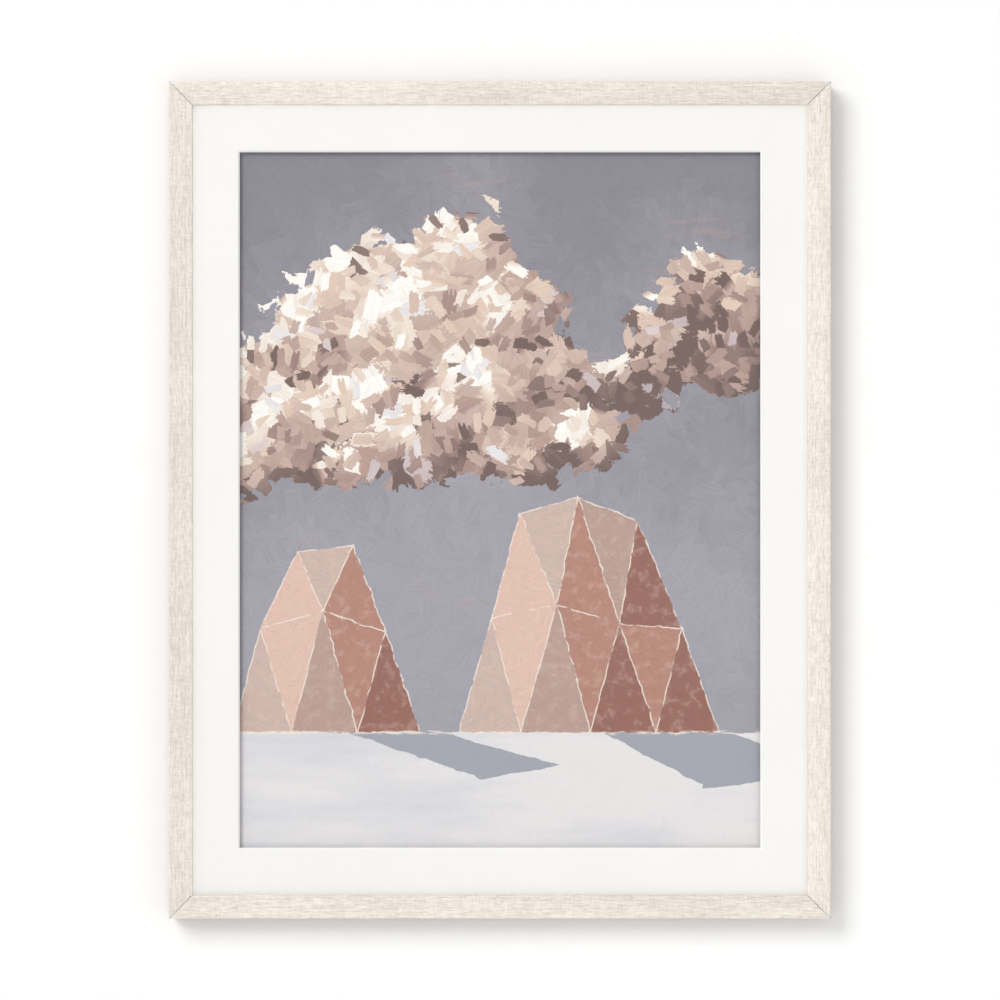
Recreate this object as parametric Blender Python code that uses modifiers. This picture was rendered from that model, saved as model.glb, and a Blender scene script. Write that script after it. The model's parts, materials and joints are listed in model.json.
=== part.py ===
"""Framed art print: a mitred moulding round glass, a window mat, a print and its backing.

Metres, +Z up. The picture faces -Y and its back faces the wall, which is the plane y = 0.
The origin is on the wall, midway between the two hanging rings, level with the inside of
their bows, so the wall hooks stand at z = 0.
"""

from math import acos, atan2, cos, pi, radians, sin, sqrt

import bmesh
import bpy
from mathutils import Matrix, Vector

# Picture and mat
WINDOW_W = 0.4564
WINDOW_H = 0.6096
MAT_SHOWN = 0.0409
MAT_THICK = 0.0015
PRINT_MARGIN = 0.0130
PRINT_THICK = 0.0003

# Moulding section
RAIL_FACE = 0.0208
RAIL_DEPTH = 0.0250
LIP_THICK = 0.0035
RABBET_WIDTH = 0.0050
FACE_CROWN = 0.0004             # how far the middle of the face stands out past its edges
OUTER_EASE = 0.0016
INNER_EASE = 0.0010
BACK_EASE = 0.0006

# Sheets behind the lip
GLASS_THICK = 0.0020
SPACER_THICK = 0.0050           # foam board strips, which hold the mat off the print
SPACER_WIDTH = 0.0125
TAPE_THICK = 0.0002
TAPE_SIZE = (0.0250, 0.0300)
TAPE_SPACING = 0.2800
MOUNT_BOARD_THICK = 0.0015
BACKING_THICK = 0.0040
SHEET_CLEARANCE = 0.0014

# Framer's points
POINT_THICK = 0.0005
POINT_WIDTH = 0.0070
POINT_LENGTH = 0.0150
POINT_IN_WOOD = 0.0060
POINT_TIP = 0.0025
POINT_HEEL_CORNER = 0.0014
STILE_POINT_SPACING = 0.2300
RAIL_POINT_SPACING = 0.2600

# Corner wedges
WEDGE_WING = 0.0045
WEDGE_THICK = 0.0007
WEDGE_DEEP = 0.0100
WEDGE_HALF_ANGLE = radians(38)
WEDGE_STATIONS = {"outer": 0.0042, "inner": 0.0094}

# Dust cover
PAPER_THICK = 0.00025
PAPER_INSET = 0.0030

# Hangers
HANGER_DROP = 0.2500            # the hooks' place below the top, as a share of the height
STRAP_WIDTH = 0.0090
STRAP_LENGTH = 0.0250
STRAP_THICK = 0.0016
STRAP_INSET = 0.0079
BARREL_WALL = 0.0008
WIRE_R = 0.0011
RING_HALF_WIDTH = 0.0062
RING_CORNER_R = 0.0015
RING_BOW_START = 0.0060
RING_LEAN = radians(5)
SCREW_DROP = 0.0190
SCREW_SHANK_R = 0.0015
SCREW_LENGTH = 0.0120
SCREW_TIP = 0.0030
SCREW_HEAD_R = 0.0030
SCREW_HEAD_H = 0.0018
RECESS_WIDTH = 0.0008
RECESS_DEEP = 0.0010

# Bumpers
BUMPER_R = 0.0055
BUMPER_TOP_R = 0.0025
BUMPER_INSET = 0.0090

# How finely round shapes are divided
ARC_STEP = radians(15)
CROWN_STEP = radians(1)
ROD_SIDES = 24
TURNED_SIDES = 32
WIRE_RESOLUTION = 3
WIRE_SMOOTH_ANGLE = radians(60)
WELD = 1e-6                     # points closer than this become one

GAP = 0.0003                    # left between two pieces that touch
CUT_OVER = 0.0020               # how far a cutter runs past the face that it opens
WALL_GAP = 0.0058               # from the back of the wood to the wall

# Worked out from the sizes above
OUTER_W = WINDOW_W + 2 * (MAT_SHOWN + RAIL_FACE)
OUTER_H = WINDOW_H + 2 * (MAT_SHOWN + RAIL_FACE)
WOOD_WIDTH = RAIL_FACE - RABBET_WIDTH
SHEET_W = OUTER_W - 2 * (WOOD_WIDTH + SHEET_CLEARANCE)
SHEET_H = OUTER_H - 2 * (WOOD_WIDTH + SHEET_CLEARANCE)
TOP_Z = OUTER_H * HANGER_DROP
BOTTOM_Z = TOP_Z - OUTER_H
CENTRE_Z = (TOP_Z + BOTTOM_Z) / 2
SHEET_Z = CENTRE_Z - SHEET_CLEARANCE + GAP
BACK_Y = -WALL_GAP
LIP_BACK_Y = BACK_Y - RAIL_DEPTH + LIP_THICK
PAPER_BACK_Y = BACK_Y + GAP + PAPER_THICK
STRAP_BACK_Y = PAPER_BACK_Y + GAP
BARREL_R = WIRE_R + GAP + BARREL_WALL
LEG_Y = STRAP_BACK_Y + BARREL_R
RING_TOP = RING_BOW_START + RING_HALF_WIDTH
LEG_Z = -(RING_TOP - WIRE_R) * cos(RING_LEAN)
HANGER_X = OUTER_W / 2 - STRAP_INSET
SCREW_Z = LEG_Z - SCREW_DROP

# Each side of the frame: its length, the middle of its outer edge, and the turn about Y
# that points its inner edge at the picture
SIDES = {
    "frame_rail_bottom": (OUTER_W, (0, BOTTOM_Z), 0.0),
    "frame_stile_left": (OUTER_H, (-OUTER_W / 2, CENTRE_Z), pi / 2),
    "frame_rail_top": (OUTER_W, (0, TOP_Z), pi),
    "frame_stile_right": (OUTER_H, (OUTER_W / 2, CENTRE_Z), -pi / 2),
}


def clear_scene():
    for old in list(bpy.data.objects):
        bpy.data.objects.remove(old, do_unlink=True)


def new_collection(name):
    collection = bpy.data.collections.new(name)
    bpy.context.scene.collection.children.link(collection)
    return collection


def finish(name, colour, roughness, metallic=0.0, alpha=1.0):
    """A plain Principled material."""
    material = bpy.data.materials.new(name)
    material.use_nodes = True
    shader = material.node_tree.nodes["Principled BSDF"]
    shader.inputs["Base Color"].default_value = (*colour, 1.0)
    shader.inputs["Roughness"].default_value = roughness
    shader.inputs["Metallic"].default_value = metallic
    shader.inputs["Alpha"].default_value = alpha
    return material


def make_finishes():
    return {
        "moulding": finish("champagne_moulding", (0.84, 0.78, 0.69), 0.45),
        "glass": finish("picture_glass", (0.95, 0.98, 0.97), 0.03, alpha=0.2),
        "mat": finish("white_mat", (0.94, 0.93, 0.90), 0.9),
        "print": finish("printed_sheet", (0.45, 0.42, 0.45), 0.7),
        "tape": finish("hinge_tape", (0.90, 0.88, 0.82), 0.8),
        "foam": finish("spacer_foam", (0.93, 0.93, 0.92), 0.9),
        "board": finish("mount_board", (0.92, 0.91, 0.88), 0.9),
        "backing": finish("backing_board", (0.30, 0.20, 0.13), 0.8),
        "kraft": finish("kraft_paper", (0.45, 0.31, 0.19), 0.85),
        "steel": finish("zinc_steel", (0.62, 0.62, 0.60), 0.35, metallic=1.0),
        "rubber": finish("black_rubber", (0.06, 0.06, 0.06), 0.6),
    }


def link(mesh, name, collection, material=None):
    piece = bpy.data.objects.new(name, mesh)
    collection.objects.link(piece)
    if material:
        mesh.materials.append(material)
    return piece


def flat_outline(outlines, thickness):
    """The mesh of flat outlines, lists of (x, y), extruded evenly to both sides of z = 0."""
    curve = bpy.data.curves.new("outline", "CURVE")
    curve.dimensions = "2D"
    curve.fill_mode = "BOTH"
    curve.extrude = thickness / 2
    for outline in outlines:
        spline = curve.splines.new("POLY")
        spline.points.add(len(outline) - 1)
        for point, (x, y) in zip(spline.points, outline):
            point.co = (x, y, 0, 1)
        spline.use_cyclic_u = True
    mesh = mesh_of_curve(curve)
    mesh.shade_flat()
    return mesh


def mesh_of_curve(curve):
    """A curve's evaluated mesh with its loose caps welded."""
    holder = bpy.data.objects.new("outline", curve)
    bpy.context.scene.collection.objects.link(holder)
    evaluated = holder.evaluated_get(bpy.context.evaluated_depsgraph_get())
    mesh = bpy.data.meshes.new_from_object(evaluated)
    bpy.data.objects.remove(holder, do_unlink=True)
    shape = bmesh.new()
    shape.from_mesh(mesh)
    bmesh.ops.remove_doubles(shape, verts=shape.verts, dist=WELD)
    bmesh.ops.recalc_face_normals(shape, faces=shape.faces)
    shape.to_mesh(mesh)
    shape.free()
    return mesh


def block(size):
    """A box mesh centred on its origin."""
    shape = bmesh.new()
    bmesh.ops.create_cube(shape, size=1.0)
    bmesh.ops.scale(shape, vec=size, verts=shape.verts)
    mesh = bpy.data.meshes.new("block")
    shape.to_mesh(mesh)
    shape.free()
    return mesh


def rod(radius, length):
    """A closed cylinder mesh along z, centred on its origin."""
    shape = bmesh.new()
    bmesh.ops.create_cone(shape, cap_ends=True, segments=ROD_SIDES, radius1=radius,
                          radius2=radius, depth=length)
    mesh = bpy.data.meshes.new("rod")
    shape.to_mesh(mesh)
    shape.free()
    return mesh


def turned(profile, name, collection, material):
    """A profile of (radius, height), from top to bottom on its outer side, turned about z."""
    mesh = bpy.data.meshes.new(name)
    points = [(radius, 0, height) for radius, height in profile]
    edges = [(i, i + 1) for i in range(len(points) - 1)]
    mesh.from_pydata(points, edges, [])
    piece = link(mesh, name, collection, material)
    screw = piece.modifiers.new("turn", "SCREW")
    screw.steps = TURNED_SIDES
    screw.render_steps = TURNED_SIDES
    screw.use_merge_vertices = True
    screw.merge_threshold = WELD
    return piece


def arc(centre, radius, start, stop, step=ARC_STEP):
    """Points on an arc, from the angle start to the angle stop, about one step apart."""
    count = max(1, round(abs(stop - start) / step))
    angles = [start + (stop - start) * i / count for i in range(count + 1)]
    return [(centre[0] + radius * cos(a), centre[1] + radius * sin(a)) for a in angles]


def cutter(mesh, name, cutters, matrix):
    """A hidden tool body, which only cuts other pieces."""
    tool = link(mesh, name, cutters)
    tool.matrix_world = matrix
    tool.hide_render = True
    tool.display_type = "WIRE"
    return tool


def cut(piece, tool, operation="DIFFERENCE"):
    boolean = piece.modifiers.new(tool.name, "BOOLEAN")
    boolean.operation = operation
    boolean.solver = "EXACT"
    boolean.object = tool


def side_matrix(name, along, inward, deep):
    """A place on a side of the frame: along its length, in from its outer edge, and deep
    into the wood from its back face."""
    _, (x, z), turn = SIDES[name]
    edge = Matrix.Translation((x, BACK_Y, z)) @ Matrix.Rotation(turn, 4, "Y")
    return edge @ Matrix.Translation((along, -deep, inward))


def eased_corner(ease, centre_x, crown_centre, crown_r):
    """A round turn that touches the crowned face from inside: its centre, and the angle at
    which the two meet."""
    across = centre_x - crown_centre[0]
    up = sqrt((crown_r - ease) ** 2 - across ** 2)
    return (centre_x, crown_centre[1] + up), atan2(up, across)


def moulding_section():
    """The moulding's outline: x is measured in from the outer edge, y from back to front.
    The face is a shallow arc between an eased outer edge and a finer eased sight edge."""
    half = RAIL_FACE / 2
    crown_r = (half ** 2 + FACE_CROWN ** 2) / (2 * FACE_CROWN)
    crown_centre = (half, RAIL_DEPTH - crown_r)
    outer_centre, outer_meet = eased_corner(OUTER_EASE, OUTER_EASE, crown_centre, crown_r)
    inner_x = RAIL_FACE - INNER_EASE
    inner_centre, inner_meet = eased_corner(INNER_EASE, inner_x, crown_centre, crown_r)
    crown = arc(crown_centre, crown_r, outer_meet, inner_meet, CROWN_STEP)
    return [
        (BACK_EASE, 0),
        (0, BACK_EASE),
        *arc(outer_centre, OUTER_EASE, pi, outer_meet),
        *crown[1:-1],
        *arc(inner_centre, INNER_EASE, inner_meet, 0),
        (RAIL_FACE, RAIL_DEPTH - LIP_THICK),
        (WOOD_WIDTH, RAIL_DEPTH - LIP_THICK),
        (WOOD_WIDTH, 0),
    ]


def make_side(name, collection, material):
    """One moulding piece: the section run along x, its ends drawn in to 45 degree mitres."""
    length, _, _ = SIDES[name]
    setback = GAP / 2 * sqrt(2)
    mesh = flat_outline([moulding_section()], length)
    for vertex in mesh.vertices:
        inward, forward, along = vertex.co
        end = length / 2 - inward - setback
        vertex.co = (end if along > 0 else -end, -forward, inward)
    side = link(mesh, name, collection, material)
    side.matrix_world = side_matrix(name, 0, 0, 0)
    return side


def wedge_outline(extra):
    """The V of a corner wedge seen from behind, its axis along +x, grown by extra all round.
    Each wing leans away from the axis by the half angle."""
    half = WEDGE_THICK / 2 + extra
    wing = WEDGE_WING + extra
    lean_x, lean_y = cos(WEDGE_HALF_ANGLE), sin(WEDGE_HALF_ANGLE)
    apex = half / lean_y
    tip_in = (wing * lean_x + half * lean_y, wing * lean_y - half * lean_x)
    tip_out = (wing * lean_x - half * lean_y, wing * lean_y + half * lean_x)
    return [
        (-apex, 0),
        (tip_out[0], -tip_out[1]),
        (tip_in[0], -tip_in[1]),
        (apex, 0),
        tip_in,
        tip_out,
    ]


def corner_axes():
    """Each corner of the frame: its name, its outer corner point and the way to the middle."""
    for row, z, down in (("top", TOP_Z, -1), ("bottom", BOTTOM_Z, 1)):
        for column, x, across in (("left", -OUTER_W / 2, 1), ("right", OUTER_W / 2, -1)):
            yield row, column, Vector((x, 0, z)), Vector((across, 0, down)).normalized()


def wedge_matrix(corner, inward, station, deep):
    """The wedge's x axis lies along the mitre, pointing at the middle of the picture, and
    its z axis points out of the back."""
    place = corner + inward * station * sqrt(2)
    out = Vector((0, 1, 0))
    across = out.cross(inward)
    turn = Matrix((inward, across, out)).transposed().to_4x4()
    return Matrix.Translation((place.x, BACK_Y - deep / 2, place.z)) @ turn


def make_wedges(sides, collection, cutters, material):
    """Two V nails across the back of each mitre, in slots cut in both moulding pieces."""
    for row, column, corner, inward in corner_axes():
        for station_name, station in WEDGE_STATIONS.items():
            name = f"corner_wedge_{row}_{column}_{station_name}"
            nail = link(flat_outline([wedge_outline(0)], WEDGE_DEEP), name, collection, material)
            nail.matrix_world = wedge_matrix(corner, inward, station, WEDGE_DEEP)
            slot_deep = WEDGE_DEEP + GAP
            slot = flat_outline([wedge_outline(GAP)], slot_deep + CUT_OVER)
            place = wedge_matrix(corner, inward, station, slot_deep - CUT_OVER)
            tool = cutter(slot, name + "_slot", cutters, place)
            cut(sides[f"frame_rail_{row}"], tool)
            cut(sides[f"frame_stile_{column}"], tool)


def sheet_stack():
    """The front face of each sheet, from the lip to the framer's points. The print and its
    tapes lie on the mount board, inside the spacers."""
    places = {}
    y = LIP_BACK_Y
    stack = [
        ("glass", GLASS_THICK),
        ("mat", MAT_THICK),
        ("spacer", SPACER_THICK),
        ("mount", MOUNT_BOARD_THICK),
        ("backing", BACKING_THICK),
        ("points", POINT_THICK),
    ]
    for name, thickness in stack:
        y += GAP
        places[name] = y
        y += thickness
    places["tape"] = places["mount"] - GAP - TAPE_THICK
    places["print"] = places["tape"] - GAP - PRINT_THICK
    return places


def make_sheet(name, size, thickness, front_y, centre_z, collection, material):
    sheet = link(block((size[0], thickness, size[1])), name, collection, material)
    sheet.location = (0, front_y + thickness / 2, centre_z)
    return sheet


def make_mat_board(front_y, collection, cutters, material):
    """The mat, its window cut at 45 degrees so that the bevel faces the viewer."""
    mat = make_sheet("mat_board", (SHEET_W, SHEET_H), MAT_THICK, front_y, SHEET_Z,
                     collection, material)
    depth = MAT_THICK + 2 * CUT_OVER
    spread = MAT_THICK / 2
    window = block((WINDOW_W, depth, WINDOW_H))
    for vertex in window.vertices:
        away = spread - vertex.co.y
        vertex.co.x += away if vertex.co.x > 0 else -away
        vertex.co.z += away if vertex.co.z > 0 else -away
    place = Matrix.Translation((0, front_y + MAT_THICK / 2, CENTRE_Z))
    cut(mat, cutter(window, "mat_window", cutters, place))
    return mat


def make_spacers(front_y, collection, material):
    """Four strips round the mat's edge. The upright ones fit between the level ones."""
    across = (SHEET_W - SPACER_WIDTH) / 2
    up = (SHEET_H - SPACER_WIDTH) / 2
    level = (SHEET_W, SPACER_WIDTH)
    upright = (SPACER_WIDTH, SHEET_H - 2 * (SPACER_WIDTH + GAP))
    strips = (
        ("top", level, 0, up),
        ("bottom", level, 0, -up),
        ("left", upright, -across, 0),
        ("right", upright, across, 0),
    )
    for name, size, x, z in strips:
        strip = make_sheet(f"mat_spacer_{name}", size, SPACER_THICK, front_y, SHEET_Z + z,
                           collection, material)
        strip.location.x = x


def make_print(front_y, collection, material):
    size = (WINDOW_W + 2 * PRINT_MARGIN, WINDOW_H + 2 * PRINT_MARGIN)
    return make_sheet("art_print", size, PRINT_THICK, front_y, CENTRE_Z, collection, material)


def make_tapes(front_y, collection, material):
    """Two tapes behind the print's top edge, half on the print and half on the board."""
    edge_z = CENTRE_Z + WINDOW_H / 2 + PRINT_MARGIN
    for name, x in (("left", -TAPE_SPACING / 2), ("right", TAPE_SPACING / 2)):
        tape = make_sheet(f"print_hinge_{name}", TAPE_SIZE, TAPE_THICK, front_y, edge_z,
                          collection, material)
        tape.location.x = x


def point_outline(extra):
    """A framer's point: a flat tab with a sharp end, x across it and y towards the wood."""
    half = POINT_WIDTH / 2 + extra
    tip = POINT_LENGTH / 2 + extra
    shoulder = tip - POINT_TIP
    heel = -POINT_LENGTH / 2
    return [
        (-half, heel + POINT_HEEL_CORNER),
        (-half, shoulder),
        (0, tip),
        (half, shoulder),
        (half, heel + POINT_HEEL_CORNER),
        (half - POINT_HEEL_CORNER, heel),
        (POINT_HEEL_CORNER - half, heel),
    ]


def point_stations():
    """Where the framer's points go: the side, its short name and the place along it."""
    for name in SIDES:
        short = name.removeprefix("frame_")
        if "stile" in name:
            places = (-STILE_POINT_SPACING, 0, STILE_POINT_SPACING)
        else:
            places = (-RAIL_POINT_SPACING / 2, RAIL_POINT_SPACING / 2)
        for number, along in enumerate(places, 1):
            yield name, f"framer_point_{short}_{number}", along


def make_points(sides, front_y, collection, cutters, material):
    """Flat steel tabs, pushed into the rabbet's wall behind the backing board."""
    deep = BACK_Y - (front_y + POINT_THICK / 2)
    inward = WOOD_WIDTH - POINT_IN_WOOD + POINT_LENGTH / 2
    lay_flat = Matrix.Rotation(-pi / 2, 4, "X")
    for side_name, name, along in point_stations():
        place = side_matrix(side_name, along, inward, deep) @ lay_flat
        tab = link(flat_outline([point_outline(0)], POINT_THICK), name, collection, material)
        tab.matrix_world = place
        slot = flat_outline([point_outline(GAP)], POINT_THICK + 2 * GAP)
        cut(sides[side_name], cutter(slot, name + "_slot", cutters, place))


def make_dust_cover(collection, material):
    """Kraft paper glued over the whole back, just in from the outer edges."""
    size = (OUTER_W - 2 * PAPER_INSET, OUTER_H - 2 * PAPER_INSET)
    return make_sheet("dust_cover", size, PAPER_THICK, BACK_Y + GAP, CENTRE_Z,
                      collection, material)


def ring_outline():
    """The D ring's centre line: the straight leg runs through the origin along x, and the
    bow stands up along y."""
    half = RING_HALF_WIDTH
    corner = RING_CORNER_R
    right_foot = arc((half - corner, corner), corner, -pi / 2, 0)
    bow = arc((0, RING_BOW_START), half, 0, pi)
    left_foot = arc((corner - half, corner), corner, pi, 3 * pi / 2)
    return right_foot + bow + left_foot


def make_ring(name, x, collection, material):
    """A closed wire ring whose origin is on its hinge, the middle of its straight leg."""
    curve = bpy.data.curves.new(name, "CURVE")
    curve.dimensions = "3D"
    curve.bevel_depth = WIRE_R
    curve.bevel_resolution = WIRE_RESOLUTION
    points = ring_outline()
    spline = curve.splines.new("POLY")
    spline.points.add(len(points) - 1)
    for point, (across, up) in zip(spline.points, points):
        point.co = (across, 0, up, 1)
    spline.use_cyclic_u = True
    mesh = mesh_of_curve(curve)
    mesh.shade_smooth()
    mesh.set_sharp_from_angle(angle=WIRE_SMOOTH_ANGLE)
    ring = link(mesh, name, collection, material)
    ring.location = (x, LEG_Y, LEG_Z)
    ring.rotation_euler = (RING_LEAN, 0, 0)
    return ring


def make_strap(name, x, collection, cutters, material):
    """A strap folded round the ring's leg, with a rounded foot and a screw hole."""
    half = STRAP_WIDTH / 2
    foot = arc((0, half - STRAP_LENGTH), half, pi, 2 * pi)
    plate = flat_outline([[(half, 0), (-half, 0), *foot]], STRAP_THICK)
    strap = link(plate, name, collection, material)
    upright = Matrix.Rotation(pi / 2, 4, "X")
    plate_y = STRAP_BACK_Y + STRAP_THICK / 2
    strap.matrix_world = Matrix.Translation((x, plate_y, LEG_Z)) @ upright
    barrel_place = Matrix.Translation((x, LEG_Y, LEG_Z)) @ Matrix.Rotation(pi / 2, 4, "Y")
    barrel = cutter(rod(BARREL_R, STRAP_WIDTH), name + "_barrel", cutters, barrel_place)
    bore_length = STRAP_WIDTH + 2 * CUT_OVER
    bore = cutter(rod(WIRE_R + GAP, bore_length), name + "_bore", cutters, barrel_place)
    cut(strap, barrel, "UNION")
    cut(strap, bore)
    return strap


def screw_profile():
    """A pan head and a pointed shank, with z = 0 under the head."""
    head = arc((SCREW_HEAD_R - SCREW_HEAD_H, 0), SCREW_HEAD_H, pi / 2, 0)
    return [
        (0, SCREW_HEAD_H),
        *head,
        (SCREW_SHANK_R, 0),
        (SCREW_SHANK_R, SCREW_TIP - SCREW_LENGTH),
        (0, -SCREW_LENGTH),
    ]


def make_screw(name, x, drilled, collection, cutters, material):
    """A wood screw through the strap and the paper into the stile, with a cross recess."""
    out_of_back = Matrix.Rotation(-pi / 2, 4, "X")
    seat_y = STRAP_BACK_Y + STRAP_THICK + GAP
    place = Matrix.Translation((x, seat_y, SCREW_Z)) @ out_of_back
    screw = turned(screw_profile(), name, collection, material)
    screw.matrix_world = place
    for number, size in enumerate(((RECESS_WIDTH, SCREW_HEAD_R), (SCREW_HEAD_R, RECESS_WIDTH))):
        recess = block((*size, 2 * RECESS_DEEP))
        high = place @ Matrix.Translation((0, 0, SCREW_HEAD_H))
        cut(screw, cutter(recess, f"{name}_recess_{number}", cutters, high))
    depth = SCREW_LENGTH + GAP
    hole = rod(SCREW_SHANK_R + GAP, depth + CUT_OVER)
    middle = place @ Matrix.Translation((0, 0, (CUT_OVER - depth) / 2))
    tool = cutter(hole, name + "_hole", cutters, middle)
    for piece in drilled:
        cut(piece, tool)
    return screw


def make_bumper(name, x, collection, material):
    """A domed rubber bumper, flat where it meets the wall."""
    height = -STRAP_BACK_Y
    dome_angle = acos(BUMPER_TOP_R / BUMPER_R)
    dome = arc((0, 0), BUMPER_R, dome_angle, 0)
    stretch = height / (BUMPER_R * sin(dome_angle))
    profile = [(0, height), *[(radius, up * stretch) for radius, up in dome], (0, 0)]
    bumper = turned(profile, name, collection, material)
    place = Matrix.Translation((x, STRAP_BACK_Y, BOTTOM_Z + BUMPER_INSET))
    bumper.matrix_world = place @ Matrix.Rotation(-pi / 2, 4, "X")
    return bumper


def make_hangers(sides, dust_cover, collection, cutters, material):
    """A strap, its ring and its screw near each side of the back."""
    for name, x in (("left", -HANGER_X), ("right", HANGER_X)):
        strap = make_strap(f"hanger_strap_{name}", x, collection, cutters, material)
        make_ring(f"hanger_ring_{name}", x, collection, material)
        drilled = (strap, dust_cover, sides[f"frame_stile_{name}"])
        make_screw(f"hanger_screw_{name}", x, drilled, collection, cutters, material)


def build():
    clear_scene()
    parts = new_collection("framed_art_print")
    cutters = new_collection("cutters")
    looks = make_finishes()
    sides = {name: make_side(name, parts, looks["moulding"]) for name in SIDES}
    make_wedges(sides, parts, cutters, looks["steel"])
    front = sheet_stack()
    sheet_size = (SHEET_W, SHEET_H)
    make_sheet("glazing", sheet_size, GLASS_THICK, front["glass"], SHEET_Z, parts,
               looks["glass"])
    make_mat_board(front["mat"], parts, cutters, looks["mat"])
    make_spacers(front["spacer"], parts, looks["foam"])
    make_print(front["print"], parts, looks["print"])
    make_tapes(front["tape"], parts, looks["tape"])
    make_sheet("mount_board", sheet_size, MOUNT_BOARD_THICK, front["mount"], SHEET_Z, parts,
               looks["board"])
    make_sheet("backing_board", sheet_size, BACKING_THICK, front["backing"], SHEET_Z, parts,
               looks["backing"])
    make_points(sides, front["points"], parts, cutters, looks["steel"])
    dust_cover = make_dust_cover(parts, looks["kraft"])
    make_hangers(sides, dust_cover, parts, cutters, looks["steel"])
    for name, x in (("left", -1), ("right", 1)):
        bumper_x = x * (OUTER_W / 2 - BUMPER_INSET)
        make_bumper(f"bumper_{name}", bumper_x, parts, looks["rubber"])


build()
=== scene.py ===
# %% [markdown]
# # A framed art print
#
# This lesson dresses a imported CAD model: a matted and glazed art print that hangs on a white
# wall. The solids come first and stay where they are. Every finish and every finer piece
# that is made here is placed by measuring them.

# %% Load the solids
import json
from math import pi, radians, sqrt

import bmesh
import bpy
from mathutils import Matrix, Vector


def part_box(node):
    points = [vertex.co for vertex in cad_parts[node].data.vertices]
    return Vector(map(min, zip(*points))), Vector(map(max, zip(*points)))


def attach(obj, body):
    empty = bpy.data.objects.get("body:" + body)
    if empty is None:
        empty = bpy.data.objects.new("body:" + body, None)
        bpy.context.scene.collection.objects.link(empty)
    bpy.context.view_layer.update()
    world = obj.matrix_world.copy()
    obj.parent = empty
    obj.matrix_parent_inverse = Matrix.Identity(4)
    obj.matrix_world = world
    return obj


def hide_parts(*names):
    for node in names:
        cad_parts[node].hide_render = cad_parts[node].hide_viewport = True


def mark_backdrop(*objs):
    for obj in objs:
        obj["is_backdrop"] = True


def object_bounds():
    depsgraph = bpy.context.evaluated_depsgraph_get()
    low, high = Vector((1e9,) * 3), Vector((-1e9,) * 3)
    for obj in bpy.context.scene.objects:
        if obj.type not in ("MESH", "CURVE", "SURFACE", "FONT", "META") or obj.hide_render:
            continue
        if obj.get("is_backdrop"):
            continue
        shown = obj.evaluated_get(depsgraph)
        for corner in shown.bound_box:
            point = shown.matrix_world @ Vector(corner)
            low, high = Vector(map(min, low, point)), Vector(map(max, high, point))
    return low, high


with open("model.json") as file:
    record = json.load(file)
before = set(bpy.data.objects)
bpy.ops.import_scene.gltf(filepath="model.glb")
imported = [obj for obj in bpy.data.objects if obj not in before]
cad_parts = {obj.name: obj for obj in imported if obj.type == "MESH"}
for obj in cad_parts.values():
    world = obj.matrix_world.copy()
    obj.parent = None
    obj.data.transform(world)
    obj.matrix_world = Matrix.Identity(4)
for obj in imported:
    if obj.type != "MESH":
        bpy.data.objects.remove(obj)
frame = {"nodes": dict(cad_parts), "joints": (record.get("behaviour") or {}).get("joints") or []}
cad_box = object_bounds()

# %% [markdown]
# ## Measures that the whole lesson uses
#
# A picture frame is plain geometry: an outer box, four mitred sides of one width, and sheets
# behind a lip. Those numbers are read from the solids instead of being typed again, so the
# finer pieces can't drift away from them.

# %% Measure the solids
TINY = 0.00002
front_y = cad_box[0].y
bottom_z, top_z = cad_box[0].z, cad_box[1].z
centre_z = (bottom_z + top_z) / 2
half_width = cad_box[1].x
half_height = (top_z - bottom_z) / 2
stile_low, stile_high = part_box("frame_stile_left")
face_width = stile_high.x - stile_low.x
wood_back_y = stile_high.y
print(f"outside {2000 * half_width:.1f} x {2000 * half_height:.1f} mm,",
      f"face {1000 * face_width:.1f} mm, wood back at y {1000 * wood_back_y:.2f} mm")

# %% [markdown]
# ## The camera
#
# The picture is seen square on, with no lean and no turn, so the camera looks straight along
# +Y at its middle. A long lens keeps the sides of the moulding out of sight, as they are in
# the photograph. Its distance follows from how wide one photograph's width is at the frame.

# %% Set up the camera
LENS = 150
SENSOR = 36
PHOTO_WIDTH = 0.875                 # what the photograph's width covers at the frame's front
camera_data = bpy.data.cameras.new("photo_camera")
camera_data.lens = LENS
camera_data.sensor_width = SENSOR
camera = bpy.data.objects.new("photo_camera", camera_data)
bpy.context.scene.collection.objects.link(camera)
camera.location = (0, front_y - PHOTO_WIDTH * LENS / SENSOR, centre_z)
camera.rotation_euler = (radians(90), 0, 0)
bpy.context.scene.camera = camera
bpy.context.scene.view_settings.view_transform = "Standard"
print(f"camera {-camera.location.y:.2f} m in front of the wall")

# %% [markdown]
# ## Short words for nodes
#
# A finish is a small network of nodes. Wiring one by hand takes four lines for each node, so
# these helpers say the same in one: add a node, do a sum, mix two things, read a noise. Each
# returns a socket that can be fed straight into the next.

# %% Add and join nodes
def join(tree, value, socket):
    """Feeds a socket from another socket, or sets it to a plain value."""
    if isinstance(value, bpy.types.NodeSocket):
        tree.links.new(value, socket)
    else:
        socket.default_value = value


def add(tree, kind, *values, **settings):
    """Adds a shader node. The values go to its inputs in turn."""
    node = tree.nodes.new("ShaderNode" + kind)
    for key, setting in settings.items():
        setattr(node, key, setting)
    for socket, value in zip(node.inputs, values):
        join(tree, value, socket)
    return node


def number(tree, operation, *values):
    """One sum on numbers."""
    return add(tree, "Math", *values, operation=operation).outputs[0]


def vector(tree, operation, *values):
    """One sum on vectors."""
    node = add(tree, "VectorMath", operation=operation)
    for socket, value in zip([s for s in node.inputs if s.enabled], values):
        join(tree, value, socket)
    return next(s for s in node.outputs if s.enabled)


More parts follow.
